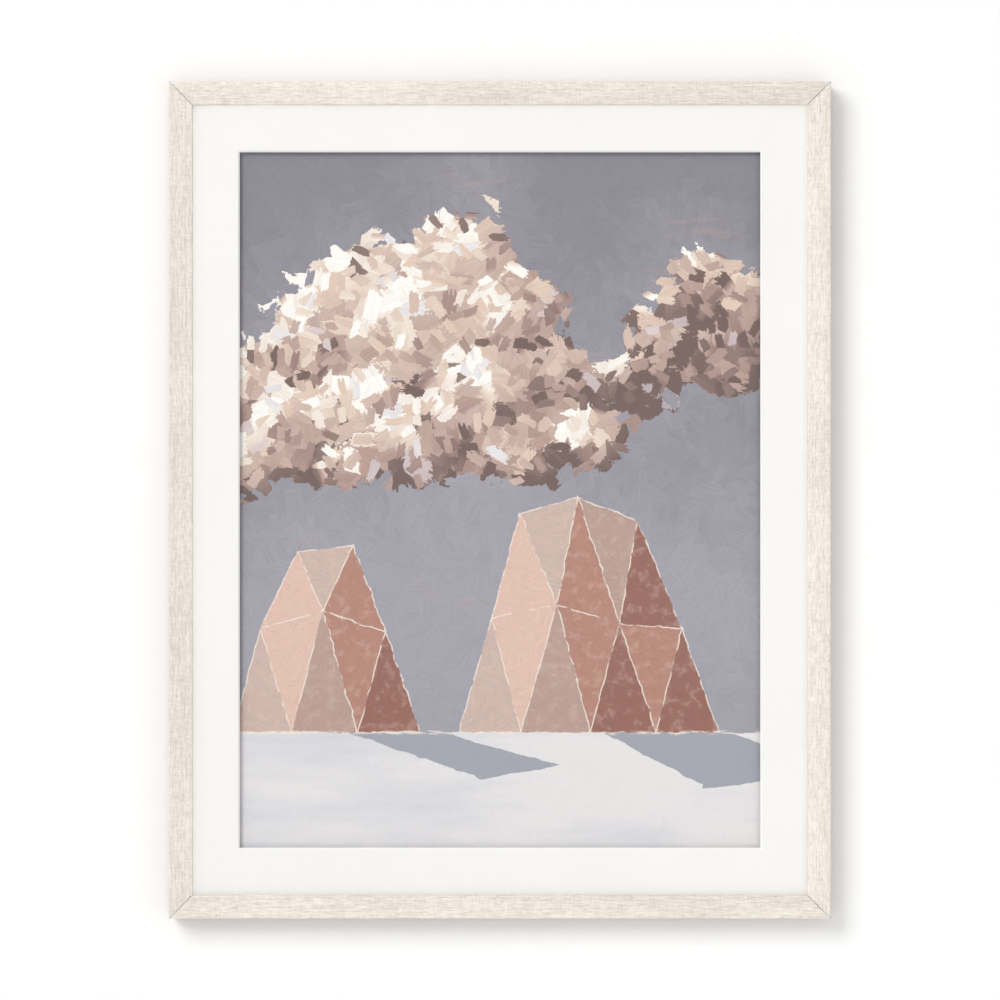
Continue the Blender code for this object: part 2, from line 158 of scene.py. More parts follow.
def mix(tree, factor, first, second, kind="RGBA"):
    """From the first, where the factor is 0, to the second, where it is 1."""
    node = add(tree, "Mix", data_type=kind)
    sockets = [s for s in node.inputs if s.enabled]
    for socket, value in zip(sockets, (factor, first, second)):
        join(tree, value, socket)
    return next(s for s in node.outputs if s.enabled)

# %% Shape values
def remap(tree, value, low, high, to_low=0.0, to_high=1.0):
    """Stretches low..high to to_low..to_high and stops at both ends."""
    return add(tree, "MapRange", value, low, high, to_low, to_high).outputs[0]


def noise(tree, place, scale, detail, roughness=0.5, dimensions="3D"):
    """A soft random pattern of 0 to 1, with scale marks to the unit."""
    node = add(tree, "TexNoise", noise_dimensions=dimensions)
    for name, value in (("Vector", place), ("Scale", scale), ("Detail", detail),
                        ("Roughness", roughness)):
        join(tree, value, node.inputs[name])
    return node.outputs[0]


def fibres(tree, place, stretch, detail, roughness=0.5, dimensions="3D"):
    """A noise with its own number of marks to the unit along each axis."""
    stretched = vector(tree, "MULTIPLY", place, stretch)
    return noise(tree, stretched, 1.0, detail, roughness, dimensions)


def sway(tree, value, amount, base):
    """The base, moved up or down by how far the value, 0 to 1, lies from its middle."""
    return number(tree, "MULTIPLY_ADD", number(tree, "SUBTRACT", value, 0.5), amount, base)


def screen(red, green, blue):
    """A colour as it looks on a screen, 0 to 255, as the linear colour that nodes use."""
    parts = [part / 255 for part in (red, green, blue)]
    linear = [((part + 0.055) / 1.055) ** 2.4 for part in parts]
    return (*linear, 1.0)


def ramp(tree, value, stops):
    """A colour ramp; stops lists (place, colour) from left to right."""
    node = add(tree, "ValToRGB", value)
    band = node.color_ramp
    while len(band.elements) < len(stops):
        band.elements.new(1.0)
    for element, (place, colour) in zip(band.elements, stops):
        element.position = place
        element.color = colour
    return node.outputs[0]

# %% Groups and finishes
SOCKET_KINDS = {"number": "NodeSocketFloat", "vector": "NodeSocketVector",
                "colour": "NodeSocketColor"}


def new_group(name, takes, gives):
    """A shader node group whose sockets are listed as (name, kind)."""
    group = bpy.data.node_groups.new(name, "ShaderNodeTree")
    for way, sockets in (("INPUT", takes), ("OUTPUT", gives)):
        for label, kind in sockets:
            group.interface.new_socket(name=label, in_out=way, socket_type=SOCKET_KINDS[kind])
    start = group.nodes.new("NodeGroupInput")
    end = group.nodes.new("NodeGroupOutput")
    return group, start.outputs, end.inputs


def use_group(tree, group, **values):
    """Places a group in a material; an underscore in a name stands for a space."""
    node = tree.nodes.new("ShaderNodeGroup")
    node.node_tree = group
    for name, value in values.items():
        join(tree, value, node.inputs[name.replace("_", " ")])
    return node.outputs


def tell(name, tree):
    print(f"{name}: {len(tree.nodes)} nodes")


def new_finish(name, roughness=0.5, metallic=0.0, shine=0.5):
    """A node material: its tree and its Principled shader's inputs."""
    material = bpy.data.materials.new(name)
    material.use_nodes = True
    tree = material.node_tree
    inputs = tree.nodes["Principled BSDF"].inputs
    inputs["Roughness"].default_value = roughness
    inputs["Metallic"].default_value = metallic
    inputs["Specular IOR Level"].default_value = shine
    return material, tree, inputs


def let_through(tree, share, tint=(1, 1, 1, 1)):
    """Lets rays pass the surface untouched, but for the tint, where the share is 1."""
    clear = add(tree, "BsdfTransparent", tint).outputs[0]
    body = tree.nodes["Principled BSDF"].outputs[0]
    mixed = add(tree, "MixShader", share, body, clear).outputs[0]
    join(tree, mixed, tree.nodes["Material Output"].inputs["Surface"])


def place_of(tree):
    """Where the point lies on the object, in metres."""
    return tree.nodes.new("ShaderNodeTexCoord").outputs["Object"]


def bump(tree, inputs, height, deep, strength):
    """Feeds the shader's normal from a height of 0 to 1 that stands for deep metres."""
    node = add(tree, "Bump")
    node.inputs["Strength"].default_value = strength
    node.inputs["Distance"].default_value = deep
    join(tree, height, node.inputs["Height"])
    join(tree, node.outputs[0], inputs["Normal"])

# %% [markdown]
# ## The wall and the floor
#
# The photograph shows a plain white wall and nothing else. The wall is matt, so it takes the
# frame's soft shadow. It lets light and the view through from behind, so that the back of
# the picture can be looked at too. A pale floor lies below, out of the main view. It shines
# a little of its own for the camera alone, so that it stays pale where the boxes don't reach.

# %% Choose a piece and settle its place
def choose(piece):
    """Makes the piece the only one that an operator acts on."""
    bpy.ops.object.select_all(action="DESELECT")
    piece.select_set(True)
    bpy.context.view_layer.objects.active = piece


def apply_place(piece):
    """Moves the object's place, turn and size into its mesh, so the object is at the origin."""
    choose(piece)
    bpy.ops.object.transform_apply(location=True, rotation=True, scale=True)

# %% Make the wall and the floor
WALL_Y = 0.0004                     # just behind the bumpers
WALL_SIZE = 9
WALL_MIDDLE_Z = 1.5
FLOOR_Z = -1.7
FLOOR_SIZE = 60
bpy.ops.object.select_all(action="DESELECT")
bpy.ops.mesh.primitive_plane_add(size=WALL_SIZE, location=(0, WALL_Y, WALL_MIDDLE_Z),
                                 rotation=(pi / 2, 0, 0))
wall = bpy.context.object
wall.name = "wall"
bpy.ops.mesh.primitive_plane_add(size=FLOOR_SIZE, location=(0, 0, FLOOR_Z))
floor = bpy.context.object
floor.name = "floor"
for piece in (wall, floor):
    apply_place(piece)
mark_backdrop(wall, floor)
print("wall normal", tuple(round(c) for c in wall.data.polygons[0].normal))

# %% Finish the wall and the floor
FLOOR_GLOW = 0.35
wall_paint, tree, inputs = new_finish("white_wall_paint", 0.95, shine=0.0)
inputs["Base Color"].default_value = (0.95, 0.95, 0.95, 1)
shadow_ray = add(tree, "LightPath").outputs["Is Shadow Ray"]
behind = add(tree, "NewGeometry").outputs["Backfacing"]
let_through(tree, number(tree, "MAXIMUM", behind, shadow_ray))
wall.data.materials.append(wall_paint)
tell("white_wall_paint", tree)

floor_paint, tree, inputs = new_finish("pale_floor", 0.8, shine=0.2)
shade = noise(tree, place_of(tree), 1.3, 0.0)
colour = mix(tree, shade, (0.80, 0.80, 0.79, 1), (0.84, 0.84, 0.83, 1))
join(tree, colour, inputs["Base Color"])
inputs["Emission Color"].default_value = (0.95, 0.95, 0.94, 1)
seen = add(tree, "LightPath").outputs["Is Camera Ray"]
join(tree, number(tree, "MULTIPLY", seen, FLOOR_GLOW), inputs["Emission Strength"])
floor_paint.cycles.emission_sampling = "NONE"
floor.data.materials.append(floor_paint)
tell("pale_floor", tree)

# %% [markdown]
# ## The light
#
# The shadow on the wall tells where the light stands. It is darkest to the right and below,
# pale to the left and above, ends about as far out as the frame is deep, and its edge is
# soft all the way. So one very large softbox stands far off to the upper left, a weak one
# fills in from the lower right, and the white studio round them does the rest. The three
# powers were solved from how fast the shadow fades on each of the four sides. Neither box is
# seen in gloss, as nothing is mirrored in the photographed glass. One more softbox stands
# behind the wall and lights the back. It is smaller than the frame and stands right behind
# it, so it doesn't reach the moulding's sides. It lights only what the camera sees first, or
# brown light would bounce off the paper and out of the gap, into the shadow on the wall.

# %% Set up the lights
FROM_THE_FRONT = (pi / 2, 0, 0)     # an unturned light shines down
FROM_BEHIND = (-pi / 2, 0, 0)


def add_softbox(name, place, size, power, turn):
    """A rectangular light that the camera doesn't see."""
    data = bpy.data.lights.new(name, "AREA")
    data.shape = "RECTANGLE"
    data.size, data.size_y = size
    data.energy = power
    light = bpy.data.objects.new(name, data)
    bpy.context.scene.collection.objects.link(light)
    light.location = place
    light.rotation_euler = turn
    light.visible_camera = False
    return light


key_box = add_softbox("key_softbox", (-3.9, -6.0, 3.72), (4.2, 4.2), 419, FROM_THE_FRONT)
low_box = add_softbox("low_softbox", (1.28, -1.5, -0.71), (1.65, 1.95), 6.5, FROM_THE_FRONT)
for box in (key_box, low_box):
    box.visible_glossy = False
back_box = add_softbox("back_softbox", (0, 2.2, centre_z), (0.56, 0.70), 58, FROM_BEHIND)
back_box.data.use_nodes = True
tree = back_box.data.node_tree
steps = add(tree, "LightPath").outputs["Ray Depth"]
first_hit = number(tree, "LESS_THAN", steps, 1.5)
join(tree, first_hit, tree.nodes["Emission"].inputs["Strength"])

# %% Set up the white studio
STUDIO = 0.56                       # how bright the white studio shines on the picture
world = bpy.data.worlds.new("studio")
bpy.context.scene.world = world
world.use_nodes = True
tree = world.node_tree
background = tree.nodes["Background"].inputs
background["Color"].default_value = (1, 1, 1, 1)
seen = add(tree, "LightPath").outputs["Is Camera Ray"]
join(tree, remap(tree, seen, 0, 1, STUDIO, 1.0), background["Strength"])
tell("studio", tree)

# %% [markdown]
# ## The picture
#
# The sheet shows a landscape of the lesson's own, in the muted colours of the real print:
# heavy clouds in cream, peach and taupe on a slate sky, faceted rocks in dusty pink and
# terracotta, and a pale plain. It has to look brushed, at the size of real brush marks, and
# it can't be an image. So it is painted the way a painter would: first the places of the
# daubs are laid down in layers, and each daub then takes one colour from the design under
# its middle.

# %% Colours on the palette
SLATE_DARK = screen(134, 131, 141)
SLATE = screen(147, 144, 153)
SLATE_LIGHT = screen(160, 158, 168)
LAVENDER = screen(208, 203, 214)
UMBER = screen(112, 90, 85)
TAUPE = screen(146, 120, 113)
DUSTY = screen(182, 153, 143)
ROSE = screen(203, 178, 168)
PEACH = screen(224, 199, 181)
CREAM = screen(240, 228, 217)
WHITE = screen(252, 248, 243)
TERRACOTTA = screen(178, 130, 115)
BRICK = screen(148, 99, 87)
BLUSH = screen(222, 188, 173)
PLAIN = screen(212, 210, 217)
PLAIN_LIGHT = screen(229, 226, 226)
PLAIN_SHADE = screen(160, 162, 173)
print("slate, for one, is", tuple(round(part, 3) for part in SLATE[:3]), "in linear light")

# %% [markdown]
# ### One layer of daubs
#
# A cell texture scatters points over the sheet. Round each point lies one daub, an oblong
# that leans its own way and has bristly ends. Where it covers the sheet it hands on the
# place of its own middle, so a later step that looks up a colour there gets one flat colour
# for the whole daub. Cells that the layer leaves bare hand on what lay below.

# %% Shape one daub
BRISTLES = (25.0, 330.0, 0.0)       # marks to the unit, along and across a daub
ENDS_FRAYED = 0.8
EDGE_RAGGED = 0.9
CORNERS_ROUND = 0.35
LAST_CELL = 30.0                    # shifts the bristles, so that no two daubs share theirs


def turn_flat(tree, place, angle):
    """The place, turned about Z."""
    turned = add(tree, "VectorRotate", rotation_type="Z_AXIS")
    join(tree, place, turned.inputs["Vector"])
    join(tree, angle, turned.inputs["Angle"])
    return turned.outputs[0]


def bristle_marks(tree, local, cell_colour):
    """Fine streaks along the daub; the cell's random colour makes them its own."""
    own_place = vector(tree, "SCALE", cell_colour, LAST_CELL)
    marks = vector(tree, "MULTIPLY", local, BRISTLES)
    return noise(tree, vector(tree, "ADD", marks, own_place), 1.0, 0.0, 0.5, "2D")


def oblong(tree, local, start, streak):
    """1 on the daub and 0 beside it. The bristles fray its ends, and its edge is ragged."""
    parts = add(tree, "SeparateXYZ", local).outputs
    along = number(tree, "DIVIDE", number(tree, "ABSOLUTE", parts[0]), start["Length"])
    along = sway(tree, streak, ENDS_FRAYED, along)
    across = number(tree, "DIVIDE", number(tree, "ABSOLUTE", parts[1]), start["Width"])
    reach = number(tree, "SMOOTH_MAX", along, across, CORNERS_ROUND)
    reach = number(tree, "MULTIPLY_ADD", start["Ragged"], EDGE_RAGGED, reach)
    return remap(tree, reach, 1.05, 0.95)

# %% Build the daub group
BLEED = 0.15                        # how far the colour under the brush shows through a daub


def make_daub_group():
    takes = [("Place", "vector"), ("Cells", "number"), ("Length", "number"),
             ("Width", "number"), ("Lean", "number"), ("Spread", "number"),
             ("Cover", "number"), ("Seed", "number"), ("Sample", "vector"),
             ("Chance", "number"), ("Streak", "number"), ("Ragged", "number")]
    gives = [("Sample", "vector"), ("Chance", "number"), ("Streak", "number")]
    group, start, end = new_group("brush_daub", takes, gives)
    shift = number(group, "MULTIPLY", start["Seed"], 1.7)
    shift = add(group, "CombineXYZ", start["Seed"], shift, 0.0).outputs[0]
    moved = vector(group, "ADD", start["Place"], shift)
    cells = add(group, "TexVoronoi", voronoi_dimensions="2D")
    join(group, moved, cells.inputs["Vector"])
    join(group, start["Cells"], cells.inputs["Scale"])
    luck = add(group, "SeparateColor", cells.outputs["Color"]).outputs
    offset = vector(group, "SUBTRACT", moved, cells.outputs["Position"])
    lean = sway(group, luck[0], start["Spread"], start["Lean"])
    local = turn_flat(group, offset, number(group, "MULTIPLY", lean, -1.0))
    streak = bristle_marks(group, local, cells.outputs["Color"])
    laid = number(group, "LESS_THAN", luck[1], start["Cover"])
    mask = number(group, "MULTIPLY", oblong(group, local, start, streak), laid)
    middle = vector(group, "SUBTRACT", start["Place"], offset)
    middle = mix(group, BLEED, middle, start["Place"], "VECTOR")
    join(group, mix(group, mask, start["Sample"], middle, "VECTOR"), end["Sample"])
    join(group, mix(group, mask, start["Chance"], luck[2], "FLOAT"), end["Chance"])
    join(group, mix(group, mask, start["Streak"], streak, "FLOAT"), end["Streak"])
    return group


daub_group = make_daub_group()
tell("brush_daub", daub_group)

# %% Lay the daubs
# Each layer: cells across one unit, half length, half width, lean and its spread in radians,
# share of cells that are painted, and a seed
DAUB_LAYERS = (
    (14, 0.056, 0.031, 0.5, 2.6, 1.00, 1.0),
    (20, 0.034, 0.017, -0.4, 2.8, 0.85, 3.1),
    (28, 0.022, 0.011, 1.3, 3.0, 0.70, 4.7),
    (36, 0.017, 0.0075, 0.2, 3.1, 0.60, 5.9),
    (46, 0.013, 0.0055, -0.9, 3.1, 0.50, 7.3),
)


def lay_daubs(tree, place):
    sample, chance, streak = place, 0.5, 0.5
    ragged = noise(tree, place, 190.0, 2.0, 0.65, "2D")
    ragged = number(tree, "SUBTRACT", ragged, 0.5)
    for cells, length, width, lean, spread, cover, seed in DAUB_LAYERS:
        layer = use_group(tree, daub_group, Place=place, Cells=cells, Length=length,
                          Width=width, Lean=lean, Spread=spread, Cover=cover, Seed=seed,
                          Sample=sample, Chance=chance, Streak=streak, Ragged=ragged)
        sample, chance, streak = layer["Sample"], layer["Chance"], layer["Streak"]
    return sample, chance, streak


print(len(DAUB_LAYERS), "layers of daubs")

# %% [markdown]
# ### Clouds from puffs
#
# A heaped cloud is many round puffs, each light where it faces the light at the upper left
# and dark where it turns away. The puffs are listed from the back to the front, and each one
# covers what lies behind it.

# %% Build the puff group
TO_THE_LIGHT = (-0.42, 0.72, 0.0)
LIGHT_RANGE = 0.55
LIGHT_MIDDLE = 0.46


def make_puff_group():
    takes = [("Place", "vector"), ("Centre", "vector"), ("Size", "number"),
             ("Cover", "number"), ("Light", "number")]
    gives = [("Cover", "number"), ("Light", "number")]
    group, start, end = new_group("cloud_puff", takes, gives)
    offset = vector(group, "SUBTRACT", start["Place"], start["Centre"])
    offset = vector(group, "SCALE", offset, number(group, "DIVIDE", 1.0, start["Size"]))
    reach = vector(group, "LENGTH", offset)
    mask = remap(group, reach, 1.02, 0.98)
    facing = vector(group, "DOT_PRODUCT", offset, TO_THE_LIGHT)
    light = number(group, "MULTIPLY_ADD", facing, LIGHT_RANGE, LIGHT_MIDDLE)
    join(group, number(group, "MAXIMUM", start["Cover"], mask), end["Cover"])
    join(group, mix(group, mask, start["Light"], light, "FLOAT"), end["Light"])
    return group


puff_group = make_puff_group()
tell("cloud_puff", puff_group)

# %% Heap the puffs
# Each puff: across, up and size, in heights of the picture
PUFFS = (
    (0.250, 0.230, 0.075), (0.330, 0.215, 0.070), (0.290, 0.300, 0.062),
    (0.375, 0.275, 0.055), (0.200, 0.175, 0.050),
    (-0.330, 0.150, 0.085), (-0.180, 0.285, 0.095), (-0.060, 0.330, 0.085),
    (-0.250, 0.235, 0.085), (0.015, 0.245, 0.090), (-0.120, 0.215, 0.105),
    (0.080, 0.150, 0.075), (-0.290, 0.095, 0.070), (-0.195, 0.120, 0.085),
    (-0.020, 0.125, 0.095), (-0.110, 0.085, 0.070), (0.130, 0.085, 0.050),
    (0.045, 0.070, 0.055), (-0.360, 0.050, 0.045), (-0.215, 0.050, 0.045),
)


def heap_clouds(tree, place):
    cover, light = 0.0, 0.0
    for across, up, size in PUFFS:
        puff = use_group(tree, puff_group, Place=place, Centre=(across, up, 0.0), Size=size,
                         Cover=cover, Light=light)
        cover, light = puff["Cover"], puff["Light"]
    return cover, light


print(len(PUFFS), "puffs")

# %% [markdown]
# ### Rocks from facets
#
# The rocks are folded like paper: flat triangles, each in one mixed colour, with thin broken
# cream lines where two meet. A triangle is the part of the plane that lies on the inner side
# of three lines, so the group gets each side as one vector and needs a single product for
# each.

# %% Build the facet group
FACET_BLUR = 0.0004                 # all three in heights of the picture
LINE_EDGE = 0.0013
LINE_CORE = 0.0005


def make_facet_group():
    takes = [("Place", "vector"), ("Side 1", "vector"), ("Side 2", "vector"),
             ("Side 3", "vector"), ("Tint", "colour"), ("Colour", "colour"),
             ("Line", "number"), ("Inside", "number")]
    gives = [("Colour", "colour"), ("Line", "number"), ("Inside", "number")]
    group, start, end = new_group("rock_facet", takes, gives)
    depths = [vector(group, "DOT_PRODUCT", start["Place"], start[f"Side {n}"])
              for n in (1, 2, 3)]
    depth = number(group, "MINIMUM", number(group, "MINIMUM", *depths[:2]), depths[2])
    mask = remap(group, depth, -FACET_BLUR, FACET_BLUR)
    line = remap(group, number(group, "ABSOLUTE", depth), LINE_EDGE, LINE_CORE)
    join(group, mix(group, mask, start["Colour"], start["Tint"]), end["Colour"])
    join(group, number(group, "MAXIMUM", start["Line"], line), end["Line"])
    join(group, number(group, "MAXIMUM", start["Inside"], mask), end["Inside"])
    return group


facet_group = make_facet_group()
tell("rock_facet", facet_group)

# %% Lay the facets
HORIZON = -0.335
CORNERS = {
    "a0": (-0.385, HORIZON), "a1": (-0.300, HORIZON), "a2": (-0.205, HORIZON),
    "a3": (-0.115, HORIZON), "n0": (-0.345, -0.185), "n1": (-0.255, -0.160),
    "n2": (-0.165, -0.190), "s0": (-0.292, -0.075), "s1": (-0.212, -0.066),
    "b0": (-0.060, HORIZON), "b1": (0.030, HORIZON), "b2": (0.130, HORIZON),
    "b3": (0.225, HORIZON), "b4": (0.315, HORIZON), "m0": (-0.012, -0.170),
    "m1": (0.082, -0.150), "m2": (0.172, -0.178), "m3": (0.262, -0.185),
    "t0": (0.028, -0.020), "t1": (0.112, 0.004), "t2": (0.198, -0.030),
}
FACETS = (
    ("a0", "a1", "n0", ROSE), ("a1", "n1", "n0", BLUSH), ("a1", "a2", "n1", DUSTY),
    ("a2", "n2", "n1", TERRACOTTA), ("a2", "a3", "n2", BRICK), ("n0", "n1", "s0", BLUSH),
    ("n1", "s1", "s0", ROSE), ("n1", "n2", "s1", TERRACOTTA),
    ("b0", "b1", "m0", ROSE), ("b1", "m1", "m0", BLUSH), ("b1", "b2", "m1", DUSTY),
    ("b2", "m2", "m1", TERRACOTTA), ("b2", "b3", "m2", BRICK), ("b3", "m3", "m2", TERRACOTTA),
    ("b3", "b4", "m3", BRICK), ("m0", "m1", "t0", BLUSH), ("m1", "t1", "t0", ROSE),
    ("m1", "m2", "t1", TERRACOTTA), ("m2", "t2", "t1", DUSTY), ("m2", "m3", "t2", BRICK),
)


def side_vector(first, second):
    """The line from first to second as (nx, ny, d): above zero on its left side."""
    across, up = second[0] - first[0], second[1] - first[1]
    length = sqrt(across ** 2 + up ** 2)
    nx, ny = -up / length, across / length
    return nx, ny, nx * first[0] + ny * first[1]


def lay_facets(tree, place, colour, facets):
    line, inside = 0.0, 0.0
    for a, b, c, tint in facets:
        facet = use_group(tree, facet_group, Place=place, Side_1=side_vector(a, b),
                          Side_2=side_vector(b, c), Side_3=side_vector(c, a), Tint=tint,
                          Colour=colour, Line=line, Inside=inside)
        colour, line, inside = facet["Colour"], facet["Line"], facet["Inside"]
    return colour, line, inside


print(len(FACETS), "facets on", len(CORNERS), "corners")

# %% [markdown]
# ### From the bottom coat to the last lines
#
# The coats go on in a painter's order: sky, clouds, rocks and their thin lines, plain,
# shadows, and last the dry line where the plain begins.

# %% Mix the sky
PICTURE_HEIGHT = 0.6096


def sheet_place(tree):
    """The place on the sheet in heights of the picture, across in X and up in Y."""
    parts = add(tree, "SeparateXYZ", place_of(tree)).outputs
    across = number(tree, "DIVIDE", parts[0], PICTURE_HEIGHT)
    up = number(tree, "DIVIDE", number(tree, "SUBTRACT", parts[2], centre_z), PICTURE_HEIGHT)
    return add(tree, "CombineXYZ", across, up, 0.0).outputs[0]


def paint_sky(tree, place, sample, chance):
    """Slate, calm, lighter towards the lower middle, with faint dry warm scumbles."""
    parts = add(tree, "SeparateXYZ", sample).outputs
    low = remap(tree, parts[1], 0.45, -0.15)
    side = number(tree, "ABSOLUTE", parts[0])
    tone = noise(tree, sample, 2.6, 3.0, 0.55, "2D")
    tone = number(tree, "MULTIPLY_ADD", low, 0.45, tone)
    tone = number(tree, "MULTIPLY_ADD", side, -0.55, tone)
    tone = sway(tree, chance, 0.13, tone)
    colour = ramp(tree, tone, [(0.30, SLATE_DARK), (0.55, SLATE), (0.85, SLATE_LIGHT)])
    slanted = add(tree, "Mapping", place)
    slanted.inputs["Rotation"].default_value = (0, 0, 0.9)
    slanted.inputs["Scale"].default_value = (5.0, 38.0, 1.0)
    dry = noise(tree, slanted.outputs[0], 1.0, 4.0, 0.7, "2D")
    patch = noise(tree, place, 5.0, 2.0, 0.5, "2D")
    dry = number(tree, "MULTIPLY", remap(tree, dry, 0.60, 0.70), remap(tree, patch, 0.5, 0.62))
    return mix(tree, number(tree, "MULTIPLY", dry, 0.35), colour, DUSTY)

# %% Mix the clouds
def paint_clouds(tree, sample, chance, sky):
    """Pale at the upper left, browner to the right, with a few cool and a few dark daubs."""
    cover, light = heap_clouds(tree, sample)
    broken = noise(tree, sample, 16.0, 2.0, 0.6, "2D")
    light = sway(tree, broken, 1.0, light)
    light = sway(tree, chance, 0.46, light)
    side = remap(tree, add(tree, "SeparateXYZ", sample).outputs[0], -0.05, 0.22)
    light = number(tree, "MULTIPLY_ADD", side, -0.18, light)
    colour = ramp(tree, light, [
        (0.05, UMBER), (0.17, TAUPE), (0.34, DUSTY), (0.50, ROSE), (0.64, PEACH),
        (0.77, CREAM), (0.90, WHITE)])
    cool = number(tree, "GREATER_THAN", chance, 0.94)
    colour = mix(tree, number(tree, "MULTIPLY", cool, 0.5), colour, LAVENDER)
    dark = number(tree, "MULTIPLY", number(tree, "LESS_THAN", chance, 0.05),
                  number(tree, "LESS_THAN", light, 0.62))
    colour = mix(tree, number(tree, "MULTIPLY", dark, 0.8), colour, UMBER)
    edge = number(tree, "GREATER_THAN", cover, 0.5)
    return mix(tree, edge, sky, colour)

# %% Add the rocks
WANDER = 0.006                      # how far a painted edge strays, in heights of the picture


def wobble(tree, place):
    """A place that wanders a little, so that no painted edge is ruled; Z is -1 for lines."""
    wander = noise(tree, place, 42.0, 2.0, 0.6, "2D")
    flat = add(tree, "SeparateXYZ", place).outputs
    across = sway(tree, wander, WANDER, flat[0])
    up = sway(tree, wander, WANDER, flat[1])
    return add(tree, "CombineXYZ", across, up, -1.0).outputs[0], up


def paint_rocks(tree, place, wobbly, colour):
    facets = [(*(CORNERS[name] for name in names), tint) for *names, tint in FACETS]
    colour, line, inside = lay_facets(tree, wobbly, colour, facets)
    scumble = noise(tree, place, 60.0, 3.0, 0.65, "2D")
    lighter = number(tree, "MULTIPLY", remap(tree, scumble, 0.52, 0.68), 0.22)
    colour = mix(tree, number(tree, "MULTIPLY", lighter, inside), colour, PEACH)
    broken = noise(tree, place, 24.0, 3.0, 0.75, "2D")
    line = number(tree, "MULTIPLY", line, remap(tree, broken, 0.40, 0.50))
    return mix(tree, number(tree, "MULTIPLY", line, 0.85), colour, CREAM)

# %% Add the plain, the rocks' shadows and its dry upper line
DRY_LINE_EDGE = 0.0034
DRY_LINE_CORE = 0.0010
TUCKED = HORIZON + 0.01             # the shadows start above the plain, which cuts them off
SHADES = (
    ((-0.250, TUCKED), (-0.020, -0.402), (-0.115, TUCKED), PLAIN_SHADE),
    ((-0.115, TUCKED), (-0.030, -0.403), (0.085, -0.382), PLAIN_SHADE),
    ((0.130, TUCKED), (0.300, -0.415), (0.315, TUCKED), PLAIN_SHADE),
    ((0.314, TUCKED), (0.290, -0.416), (0.480, -0.392), PLAIN_SHADE),
)


def paint_plain(tree, place, wobbly, up, colour):
    below = number(tree, "LESS_THAN", up, HORIZON)
    side = remap(tree, add(tree, "SeparateXYZ", place).outputs[0], -0.40, 0.35)
    tone = fibres(tree, place, (2.5, 14.0, 1.0), 4.0, 0.6, "2D")
    tone = number(tree, "MULTIPLY_ADD", side, 0.25, tone)
    plain = ramp(tree, tone, [(0.35, PLAIN), (0.70, PLAIN_LIGHT)])
    plain = lay_facets(tree, wobbly, plain, SHADES)[0]
    colour = mix(tree, below, colour, plain)
    away = number(tree, "ABSOLUTE", number(tree, "SUBTRACT", up, HORIZON))
    near = remap(tree, away, DRY_LINE_EDGE, DRY_LINE_CORE)
    dry = fibres(tree, place, (26.0, 160.0, 1.0), 3.0, 0.7, "2D")
    near = number(tree, "MULTIPLY", near, remap(tree, dry, 0.47, 0.56))
    return mix(tree, number(tree, "MULTIPLY", near, 0.8), colour, CREAM)

# %% Lay the coats one over another
RELIEF = 0.16                       # how much the bristles lighten and darken a daub
PLAIN_RELIEF = 0.05


def paint_picture(tree):
    place = sheet_place(tree)
    sample, chance, streak = lay_daubs(tree, place)
    colour = paint_sky(tree, place, sample, chance)
    colour = paint_clouds(tree, sample, chance, colour)
    wobbly, up = wobble(tree, place)
    colour = paint_rocks(tree, place, wobbly, colour)
    colour = paint_plain(tree, place, wobbly, up, colour)
    on_plain = number(tree, "LESS_THAN", up, HORIZON)
    relief = mix(tree, on_plain, RELIEF, PLAIN_RELIEF, "FLOAT")
    return vector(tree, "SCALE", colour, sway(tree, streak, relief, 1.0))

# %% [markdown]
# ## Working in edit mode
#
# Modelling by hand means picking faces, edges or points and using a tool on them. With no
# mouse, they are picked by where they lie: pick() selects every element whose corners all
# pass a test.

# %% Pick by place
def open_piece(name):
    """Names the newest object and opens its mesh for editing, all selected."""
    piece = bpy.context.object
    piece.name = piece.data.name = name
    apply_place(piece)
    bpy.ops.object.mode_set(mode="EDIT")
    bpy.ops.mesh.select_all(action="SELECT")
    return piece


def close_piece():
    bpy.ops.object.mode_set(mode="OBJECT")


def pick(piece, kind, test):
    """Selects the vertices, edges or faces whose every corner passes the test."""
    bpy.ops.mesh.select_mode(type=kind)
    bpy.ops.mesh.select_all(action="DESELECT")
    shape = bmesh.from_edit_mesh(piece.data)
    elements = {"VERT": shape.verts, "EDGE": shape.edges, "FACE": shape.faces}[kind]
    for element in elements:
        corners = [element] if kind == "VERT" else element.verts
        if all(test(corner.co) for corner in corners):
            element.select_set(True)
    shape.select_flush_mode()
    bmesh.update_edit_mesh(piece.data)


def extrude(x=0.0, y=0.0, z=0.0):
    bpy.ops.mesh.extrude_region_move(TRANSFORM_OT_translate={"value": (x, y, z)})


def tidy_shell():
    """Welds doubles, then points all faces outwards."""
    bpy.ops.mesh.select_all(action="SELECT")
    bpy.ops.mesh.remove_doubles(threshold=TINY / 4)
    bpy.ops.mesh.normals_make_consistent(inside=False)

# %% Report, copy and hand over
def size_of(piece):
    corners = [vertex.co for vertex in piece.data.vertices]
    low = Vector(min(c[i] for c in corners) for i in range(3))
    high = Vector(max(c[i] for c in corners) for i in range(3))
    return low, high


def in_mm(box):
    return [tuple(round(1000 * part, 2) for part in corner) for corner in box]


def smooth_by_angle(piece, degrees):
    choose(piece)
    bpy.ops.object.shade_smooth_by_angle(angle=radians(degrees))


def hand_over(piece, body, node):
    """Puts the piece on its body, hides the solid it stands for and prints how far it lies from
    that solid's box.
    """
    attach(piece, body)
    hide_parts(node)
    low, high = size_of(piece)
    solid_low, solid_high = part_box(node)
    off = max(max(abs(a - b) for a, b in zip(low, solid_low)),
              max(abs(a - b) for a, b in zip(high, solid_high)))
    print(f"{piece.name}: {len(piece.data.polygons)} faces,",
          f"at most {1000 * off:.2f} mm from its solid's box")

